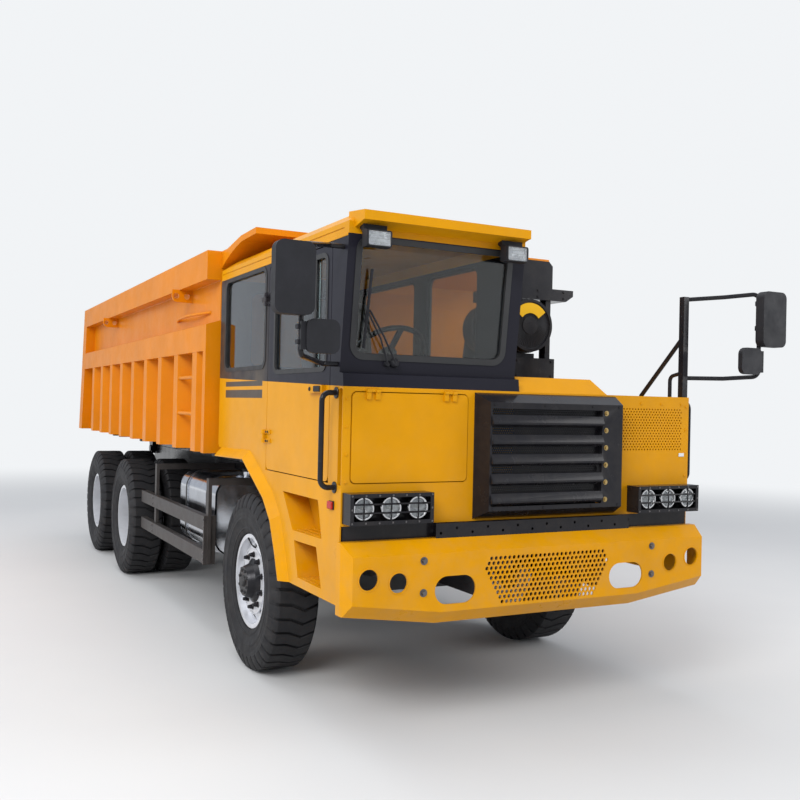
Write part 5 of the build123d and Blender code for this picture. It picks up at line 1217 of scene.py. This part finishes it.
class TRUCK_OT_inside(bpy.types.Operator):
    """Seat with stuffed cushions on its suspension, steering wheel grip, gauges and levers"""

    bl_idname = "truck.inside"
    bl_label = "Cab inside"

    def execute(self, context):
        base = Shape()
        base.box(at(SEAT_X - 0.17, SEAT_Y - 0.17, 1.4503), at(SEAT_X + 0.17, SEAT_Y + 0.17, 1.475), 0.004)
        for i in range(7):
            inset = 0.012 if i % 2 else 0.0
            z = 1.475 + 0.031 * i
            base.box(at(SEAT_X - 0.145 + inset, SEAT_Y - 0.145 + inset, z),
                     at(SEAT_X + 0.145 - inset, SEAT_Y + 0.145 - inset, z + 0.031), 0.006)
        base.box(at(SEAT_X - 0.18, SEAT_Y - 0.18, 1.692), at(SEAT_X + 0.18, SEAT_Y + 0.20, 1.722), 0.006)
        base.box(at(SEAT_X - 0.20, SEAT_Y + 0.17, 1.700), at(SEAT_X + 0.20, SEAT_Y + 0.26, 1.80), 0.01)
        for k in (-1, 1):
            base.tube([at(SEAT_X + k * 0.06, SEAT_Y + 0.352, 2.36), at(SEAT_X + k * 0.06, SEAT_Y + 0.362, 2.44)],
                      0.007, 8)
        for k in (-1, 1):
            base.bar(at(SEAT_X + k * 0.225, SEAT_Y + 0.23, 1.76), at(SEAT_X + k * 0.24, SEAT_Y + 0.23, 1.76), 0.035,
                     20, 0.003)
        obj = piece("seat_base", base, "plastic", "truck")
        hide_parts("driver_seat")
        soft = Shape()
        cushion(soft, at(SEAT_X - 0.25, SEAT_Y - 0.25, 1.720), at(SEAT_X + 0.25, SEAT_Y + 0.25, 1.822), 0.016, 0.035)
        piece("seat_cushion", soft, "cloth", "truck", 60)
        rest = Shape()
        cushion(rest, (-0.24, -0.045, 0), (0.24, 0.045, 0.580), 0.016, 0.034, axis=1, face=-1)
        mesh = rest.mesh("back", 60)
        lean = math.atan2(0.125, 0.59)
        turn = Matrix.Translation(at(SEAT_X, SEAT_Y + 0.225, 1.812)) @ Matrix.Rotation(-lean, 4, "X")
        mesh.transform(turn)
        piece("seat_back", mesh, "cloth", "truck")
        head = Shape()
        cushion(head, (-0.13, -0.036, 0), (0.13, 0.036, 0.125), 0.010, 0.028, axis=1, face=-1)
        mesh = head.mesh("head", 60)
        mesh.transform(Matrix.Translation(at(SEAT_X, SEAT_Y + 0.352, 2.398)) @ Matrix.Rotation(-lean, 4, "X"))
        piece("seat_head", mesh, "cloth", "truck")
        centre = at(SEAT_X, 0.700, 2.010)
        column = at(SEAT_X, 0.4753, 1.750)
        axis = (centre - column).normalized()
        hub = Shape()
        hub.turned([(-0.050, 0.0), (-0.050, 0.040), (-0.006, 0.055), (0.012, 0.052), (0.018, 0.038), (0.020, 0.0)],
                   centre, axis, 28)
        _, first, second = basis(axis)
        for i in range(12):
            a = 2 * math.pi * (i + 0.5) / 12
            out = first * math.cos(a) + second * math.sin(a)
            along = second * math.cos(a) - first * math.sin(a)
            hub.tube([centre + out * 0.2135 - along * 0.016, centre + out * 0.2145,
                      centre + out * 0.2135 + along * 0.016], 0.0165, 8)
        piece("steering_grip", hub, "rubber", "truck")
        stalk = Shape()
        stalk.tube([column + axis * 0.20, column + axis * 0.20 + Vector((0.10, 0.0, 0.02)),
                    column + axis * 0.20 + Vector((0.17, 0, 0.05))], 0.006, 8)
        stalk.tube([at(-0.300, 0.60, 1.60), at(-0.300, 0.66, 1.85), at(-0.300, 0.68, 1.90)], 0.009, 8)
        stalk.turned([(0, 0), (0.002, 0.018), (0.02, 0.026), (0.04, 0.018), (0.046, 0)], at(-0.300, 0.68, 1.895),
                     (0, 0.1, 1), 18)
        piece("levers", stalk, "plastic", "truck")
        gauges = Shape()
        dials = Shape()
        slope_low = at(0, 0.5553, 1.860)
        slope_high = at(0, 0.4153, 1.945)
        up = (slope_high - slope_low).normalized()
        face = up.cross(Vector((-1, 0, 0))).normalized()
        if face.y < 0:
            face = -face
        for x in (-0.78, -0.68, -0.58, -0.48):
            middle = slope_low + up * 0.08 + Vector((x, 0, 0))
            gauges.turned([(-0.004, 0.036), (-0.004, 0.042), (0.007, 0.041), (0.007, 0.036)], middle, face, 28,
                          closed=True)
            dials.turned([(-0.004, 0.0), (-0.004, 0.037), (0.002, 0.037), (0.002, 0.0)], middle, face, 28)
        piece("gauge_rims", gauges, "chrome", "truck")
        piece("gauge_faces", dials, "white", "truck")
        return {"FINISHED"}


# ---------------------------------------------------------------- beside and behind the cab
CLEANER = (0.560, 2.265)


class TRUCK_OT_intake(bpy.types.Operator):
    """Rayed cap, clasps, sticker, ribs and hose of the air cleaner; seams and bolts of its hood"""

    bl_idname = "truck.intake"
    bl_label = "Air intake"

    def execute(self, context):
        x, z = CLEANER
        unit = Shape()
        unit.loops([[(-0.0035, -0.0016, r), (0.0045, -0.0010, r), (0.0045, 0.0010, r), (-0.0035, 0.0016, r)]
                    for r in (0.045, 0.085, 0.125, 0.149)])
        holder = link("cleaner_ray", unit.mesh("ray"), "black")
        rays = grown(holder, turned_copies, "black", Count=56)
        bpy.data.objects.remove(holder)
        back = Shape().turned([(0.004, 0.0), (0.004, 0.158), (-0.002, 0.158), (-0.002, 0.150), (0.001, 0.148),
                               (0.001, 0.048),
                               (-0.004, 0.046), (-0.006, 0.040), (-0.006, 0.0)], (0, 0, 0), (1, 0, 0), 64)
        cap = joined("cleaner_cap", [rays, back.mesh("back")])
        cap.transform(Matrix.Translation(at(x, 0.982, z)) @ Matrix.Rotation(math.pi / 2, 4, "Z"))
        shade(cap, 30)
        piece("cleaner_cap", cap, "plastic", "truck")
        clasps = Shape()
        centre = at(x, 0, z)
        for i in range(4):
            a = math.pi / 4 + math.pi / 2 * i
            place = centre + Vector((0.183 * math.cos(a), 1.045, 0.183 * math.sin(a)))
            clasps.box(place - Vector((0.009, 0.030, 0.009)), place + Vector((0.009, 0.016, 0.009)), 0.003)
        piece("cleaner_clasps", clasps, "black", "truck")
        label = Shape()
        arc = [math.radians(38 + 104 * i / 16) for i in range(17)]
        face = [at(x + r * math.cos(a), 0.9735, z + r * math.sin(a))
                for r, way in ((0.150, 1), (0.082, -1)) for a in arc[::way]]
        label.loops([face, [point + Vector((0, 0.004, 0)) for point in face]])
        piece("cleaner_sticker", label, "sticker", "truck")
        ribs = Shape()
        for y in (1.130, 1.200, 1.270, 1.340, 1.410):
            ribs.turned([(y, 0.174), (y + 0.002, 0.1795), (y + 0.016, 0.1795), (y + 0.018, 0.174)], centre, (0, 1, 0),
                        56, closed=True)
        ribs.tube([at(x, 1.548, z), at(x, 1.60, z), at(x, 1.66, z - 0.06), at(x, 1.69, z - 0.20),
                   at(x, 1.69, z - 0.46)], 0.075, 24)
        for y, zz in ((1.558, z), (1.69, z - 0.40)):
            along = (0, 1, 0) if y < 1.6 else (0, 0, 1)
            ribs.turned([(0, 0.074), (0, 0.080), (0.014, 0.080), (0.014, 0.074)], at(x, y, zz), along, 32, closed=True)
        piece("cleaner_ribs", ribs, "plastic", "truck")
        hood = Shape()
        outline = [(0.499, 2.530), (0.499, 2.691), (0.5295, 2.7215), (0.7805, 2.7215), (0.811, 2.691), (0.811, 2.530)]
        for y in (1.078, 1.255, 1.432):
            hood.prism(outline, at(0, y, 0), (0, 0.020, 0), (1, 0, 0), (0, 0, 1))
        piece("hood_seams", hood, "black", "truck")
        places = [(at(u, 1.0, v), (0, -1, 0)) for u in (0.475, 0.755) for v in (1.83, 1.93, 2.03)]
        places += [(at(u, 1.040, v), (0, -1, 0)) for u in (0.450, 0.665, 0.880) for v in (2.470, 2.512)]
        heads("intake_bolts", places, "black", "truck", radius=0.009, height=0.007, washer=0.014)
        return {"FINISHED"}


TANK_X, TANK_Z = -0.75, 0.84
FILLER_X, FILLER_Y = -0.760, 2.790
AIR_TANK_X = 0.640


def tank_ring(y, reach_x, reach_z, radius):
    """A rounded outline about the tank's middle at one station."""
    return upright(TANK_X, y, TANK_Z, rounded_outline(-reach_x, reach_x, -reach_z, reach_z, radius))


class TRUCK_OT_tank(bpy.types.Operator):
    """Tank strap pads, seams and cap; battery box lid and latches; bands and ends of the air tanks"""

    bl_idname = "truck.tank"
    bl_label = "Tank and boxes"

    def execute(self, context):
        strap = Shape()
        for y in (2.880, 3.480):
            strap.band(tank_ring(y + 0.012, 0.3095, 0.2995, 0.14), tank_ring(y + 0.012, 0.306, 0.296, 0.136),
                       (0, 0.036, 0))
        piece("tank_strap_pads", strap, "rubber", "truck")
        rims = Shape()
        for y in (2.700, 3.7085):
            rims.band(tank_ring(y, 0.302, 0.292, 0.132), tank_ring(y, 0.288, 0.278, 0.118), (0, 0.0115, 0))
        piece("tank_seams", rims, "tank", "truck")
        cap = Shape()
        cap.turned([(0, 0.0), (0, 0.052), (0.008, 0.055), (0.022, 0.055), (0.026, 0.050), (0.026, 0.0)],
                   at(FILLER_X, FILLER_Y, 1.176), (0, 0, 1), 36)
        for i in range(12):
            a = 2 * math.pi * i / 12
            spot = at(FILLER_X + 0.054 * math.cos(a), FILLER_Y + 0.054 * math.sin(a), 1.180)
            cap.bar(spot, spot + Vector((0, 0, 0.018)), 0.004, 8)
        piece("tank_cap", cap, "plastic", "truck")
        lid = Shape()
        lid.box(at(0.444, 2.694, 1.068), at(1.006, 3.306, 1.088), 0.004)
        for y in (2.85, 3.15):
            lid.box(at(1.0, y - 0.015, 1.000), at(1.010, y + 0.015, 1.075), 0.002)
            lid.box(at(1.0, y - 0.022, 0.985), at(1.007, y + 0.022, 1.010), 0.002)
        for i in range(4):
            lid.box(at(1.0, 2.74 + 0.14 * i, 0.68), at(1.006, 2.80 + 0.14 * i, 0.93), 0.002)
        piece("battery_lid", lid, "black", "truck")
        bands = Shape()
        for z in (0.700, 0.960):
            for y in (3.52, 4.04):
                bands.turned([(0, 0.119), (0, 0.1235), (0.030, 0.1235), (0.030, 0.119)], at(AIR_TANK_X, y, z),
                             (0, 1, 0), 40, closed=True)
            for y, step in ((3.420, -0.008), (4.180, 0.008)):
                bands.turned([(0, 0.119), (step, 0.100), (step * 1.6, 0.05), (step * 1.7, 0.0)], at(AIR_TANK_X, y, z),
                             (0, 1, 0), 40)
        piece("air_tank_bands", bands, "cast", "truck")
        return {"FINISHED"}


TREAD_PITCH = 0.03


class TRUCK_OT_guards(bpy.types.Operator):
    """Guard bolts and folded edges, and the treads of the steps"""

    bl_idname = "truck.guards"
    bl_label = "Guards and steps"

    def execute(self, context):
        for side, k in SIDES:
            places = [(at(k * 1.165, y, z), (k, 0, 0)) for y in (2.600, 4.260) for z in (0.545, 0.597, 0.787, 0.842)]
            heads("guard_bolts_" + side, places, "steel", "truck", radius=0.010, height=0.008, washer=0.016)
            folds = Shape()
            for z0, z1 in ((0.762, 0.867), (0.522, 0.620)):
                for z in (z0, z1 - 0.004):
                    folds.box(at(k * 1.112, 2.615, z), at(k * 1.141, 4.708, z + 0.004), 0.001)
            piece("guard_folds_" + side, folds, "guard", "truck")
            treads = Shape()
            for y0, y1, z in ((0.445, 0.795, 1.0045), (0.455, 0.695, 0.7485)):
                for i in range(int((y1 - y0) / TREAD_PITCH)):
                    y = y0 + 0.015 + TREAD_PITCH * i
                    for j in range(3):
                        x = 1.050 + 0.045 * j
                        treads.turned([(0, 0.009), (0.0035, 0.008), (0.0035, 0.006), (0, 0.005)], at(k * x, y, z),
                                      (0, 0, 1), 10)
            piece("step_treads_" + side, treads, "body", "truck")
        return {"FINISHED"}


RIB_FIRST = 2.620
RIB_PITCH = 0.548
RIBS = 9
LUG_STATIONS = (3.120, 6.120)
SIDE_FACE = 1.1535


class TRUCK_OT_bed(bpy.types.Operator):
    """Weld seams of the bed's ribs, rungs and canopy, and the rims of the lug and side holes"""

    bl_idname = "truck.bed"
    bl_label = "Bed"

    def execute(self, context):
        for side, k in SIDES:
            seams = Shape()
            for index in range(RIBS):
                y = RIB_FIRST + index * RIB_PITCH
                for edge in (-0.102, 0.102):
                    seams.tube([at(k * SIDE_FACE, y + edge, 1.350), at(k * SIDE_FACE, y + edge, 2.068)], 0.0045, 6)
                seams.tube([at(k * 1.2545, y - 0.060, 2.071), at(k * 1.2545, y + 0.060, 2.071)], 0.004, 6)
            for z in (2.2565, 2.5745):
                seams.tube([at(k * SIDE_FACE, 2.335, z), at(k * SIDE_FACE, 7.700, z)], 0.0045, 6)
            for y in LUG_STATIONS:
                for edge in (-0.0105, 0.0105):
                    seams.tube([at(k * 1.154, y + edge, 2.482), at(k * 1.154, y + edge, 2.573)], 0.004, 6)
                    seams.tube([at(k * 1.160, y + edge, 2.5745), at(k * 1.254, y + edge, 2.5745)], 0.004, 6)
            for y in (2.5815, 3.5385):
                spot = at(k * SIDE_FACE, y, 2.365)
                seams.turned([(0, 0.0115), (0.001, 0.0155), (0.004, 0.0125), (0.006, 0.0115)], spot, (k, 0, 0), 16,
                             closed=True)
            piece("bed_welds_" + side, seams, "bed", "bed")
            rings = Shape()
            for y in LUG_STATIONS:
                for x in (1.195, 1.279):
                    for face, way in ((y - 0.010, -1), (y + 0.010, 1)):
                        rings.turned([(0, 0.0228), (0, 0.0290), (0.002, 0.0285), (0.002, 0.0228)],
                                     at(k * x, face, 2.527), (0, way, 0), 28, closed=True)
            piece("lug_rings_" + side, rings, "bed", "bed")
            rungs = Shape()
            for z in (1.618, 1.888):
                for y in (RIB_FIRST + 0.060, RIB_FIRST + RIB_PITCH - 0.060):
                    rungs.turned([(0, 0.0135), (0, 0.020), (0.006, 0.0185), (0.008, 0.0135)], at(k * 1.235, y, z),
                                 (0, 1 if y < 2.9 else -1, 0), 20, closed=True)
            piece("rung_welds_" + side, rungs, "bed", "bed")
        lip = Shape()
        for x in (-0.9, -0.45, 0.0, 0.45, 0.9):
            lip.box(at(x - 0.006, 1.60, 2.7935), at(x + 0.006, 2.32, 2.799), 0.0015)
        piece("canopy_seams", lip, "bed", "bed")
        return {"FINISHED"}


RAIL_FACE = 0.425
BARE_STRETCH = (4.55, 4.95)


class TRUCK_OT_chassis(bpy.types.Operator):
    """Rivets along the frame's rails"""

    bl_idname = "truck.chassis"
    bl_label = "Chassis"

    def execute(self, context):
        for side, k in SIDES:
            places = [(at(k * RAIL_FACE, y, z), (k, 0, 0)) for y in (2.42 + 0.16 * i for i in range(30))
                      for z in (0.775, 0.965) if not BARE_STRETCH[0] < y < BARE_STRETCH[1]]
            heads("rail_rivets_" + side, places, "black", "truck", radius=0.011, height=0.007, washer=0.014, sides=12)
        return {"FINISHED"}


# ---------------------------------------------------------------- stage
class TRUCK_OT_stage(bpy.types.Operator):
    """Floor, soft lights and the camera"""

    bl_idname = "truck.stage"
    bl_label = "Stage"

    def execute(self, context):
        scene = context.scene
        scene.view_settings.view_transform = "Standard"
        mesh = bpy.data.meshes.new("floor")
        side = 60
        mesh.from_pydata([(-side, -side, GROUND), (side, -side, GROUND), (side, side, GROUND), (-side, side, GROUND)],
                         [], [(0, 1, 2, 3)])
        floor = bpy.data.objects.new("floor", mesh)
        scene.collection.objects.link(floor)
        finish = Finish("studio_floor", Roughness=0.85, Specular_IOR_Level=0.05)
        finish.set("Base_Color", finish.mix(finish.noise(0.6, 3), (0.60, 0.60, 0.60), (0.64, 0.64, 0.63)))
        tree = finish.tree
        x, y, _ = finish.axes()
        far = finish.math("SQRT", finish.math("ADD", finish.math("MULTIPLY", x, x), finish.math("MULTIPLY", y, y)))
        path = finish.node("ShaderNodeLightPath")
        seen = finish.math("MAXIMUM", path.outputs["Is Camera Ray"], path.outputs["Is Glossy Ray"])
        seen = finish.math("MAXIMUM", seen, path.outputs["Is Transmission Ray"])
        share = finish.math("MULTIPLY", finish.span(far, 6.5, 17.0, smooth=True), seen)
        haze = finish.node("ShaderNodeEmission", {"Color": (0.93, 0.95, 0.97, 1), "Strength": 0.95})
        blend = finish.node("ShaderNodeMixShader", {0: share, 1: finish.shader.outputs[0], 2: haze.outputs[0]})
        tree.links.new(blend.outputs[0], tree.nodes["Material Output"].inputs[0])
        mesh.materials.append(finish.material)
        world = bpy.data.worlds.new("studio")
        scene.world = world
        world.use_nodes = True
        nodes = world.node_tree.nodes
        links = world.node_tree.links
        light = nodes["Background"]
        light.inputs["Color"].default_value = (0.86, 0.91, 1.0, 1)
        light.inputs["Strength"].default_value = 0.62
        seen = nodes.new("ShaderNodeBackground")
        seen.inputs["Color"].default_value = (0.93, 0.95, 0.97, 1)
        seen.inputs["Strength"].default_value = 0.95
        path = nodes.new("ShaderNodeLightPath")
        mix = nodes.new("ShaderNodeMixShader")
        links.new(path.outputs["Is Camera Ray"], mix.inputs[0])
        links.new(light.outputs[0], mix.inputs[1])
        links.new(seen.outputs[0], mix.inputs[2])
        links.new(mix.outputs[0], nodes["World Output"].inputs[0])
        for name, place, aim, size, power in (
            ("key", (-7.5, -9.5, 7.5), (0, -2.5, 1.2), 5.0, 900),
            ("fill", (8.5, -8.0, 5.0), (0.5, -2.5, 1.2), 6.0, 420),
            ("top", (-1.0, 0.5, 10.0), (0, 0, 1.0), 8.0, 520),
            ("side", (-11.0, 3.0, 5.5), (-1, 1.5, 1.4), 6.0, 420),
        ):
            lamp = bpy.data.lights.new(name, "AREA")
            lamp.shape = "SQUARE"
            lamp.size = size
            lamp.energy = power
            obj = bpy.data.objects.new(name, lamp)
            obj.location = place
            obj.rotation_euler = (Vector(aim) - Vector(place)).to_track_quat("-Z", "Y").to_euler()
            scene.collection.objects.link(obj)
        data = bpy.data.cameras.new("camera")
        data.lens = sizes().lens
        data.sensor_width = 36
        data.clip_end = 200
        camera = bpy.data.objects.new("camera", data)
        yaw, pitch, roll = (math.radians(v) for v in (CAMERA_YAW, CAMERA_PITCH, CAMERA_ROLL))
        forward = Vector((math.sin(yaw) * math.cos(pitch), math.cos(yaw) * math.cos(pitch), math.sin(pitch)))
        right = Vector((math.cos(yaw), -math.sin(yaw), 0))
        up = right.cross(forward)
        turned_right = right * math.cos(roll) + up * math.sin(roll)
        turned_up = up * math.cos(roll) - right * math.sin(roll)
        turn = Matrix((turned_right, turned_up, -forward)).transposed()
        camera.matrix_world = Matrix.Translation(at(*CAMERA_PLACE)) @ turn.to_4x4()
        scene.collection.objects.link(camera)
        scene.camera = camera
        return {"FINISHED"}


# ---------------------------------------------------------------- panel and registration
STEPS = ["finishes", "tyres", "wheel_fittings", "bumper", "nose", "grille", "lamps", "cab", "inside", "intake", "tank",
         "guards", "bed", "chassis", "stage"]


class TRUCK_PT_panel(bpy.types.Panel):
    """The truck's finishing steps"""

    bl_label = "Mining dump truck"
    bl_idname = "TRUCK_PT_panel"
    bl_space_type = "VIEW_3D"
    bl_region_type = "UI"
    bl_category = "Truck"

    def draw(self, context):
        for step in STEPS:
            self.layout.operator("truck." + step)


CLASSES = [TruckPaints, TruckSizes, TRUCK_OT_finishes, TRUCK_OT_tyres, TRUCK_OT_wheel_fittings, TRUCK_OT_bumper,
           TRUCK_OT_nose, TRUCK_OT_grille, TRUCK_OT_lamps, TRUCK_OT_cab, TRUCK_OT_inside, TRUCK_OT_intake,
           TRUCK_OT_tank,
           TRUCK_OT_guards, TRUCK_OT_bed, TRUCK_OT_chassis, TRUCK_OT_stage, TRUCK_PT_panel]


def register():
    for item in CLASSES:
        bpy.utils.register_class(item)
    bpy.types.Scene.truck_paints = bpy.props.PointerProperty(type=TruckPaints)
    bpy.types.Scene.truck_sizes = bpy.props.PointerProperty(type=TruckSizes)


def unregister():
    del bpy.types.Scene.truck_sizes
    del bpy.types.Scene.truck_paints
    for item in reversed(CLASSES):
        bpy.utils.unregister_class(item)


def main():
    """Runs every step."""
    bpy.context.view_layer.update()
    register()
    for step in STEPS:
        getattr(bpy.ops.truck, step)()


if __name__ == "__main__":
    main()
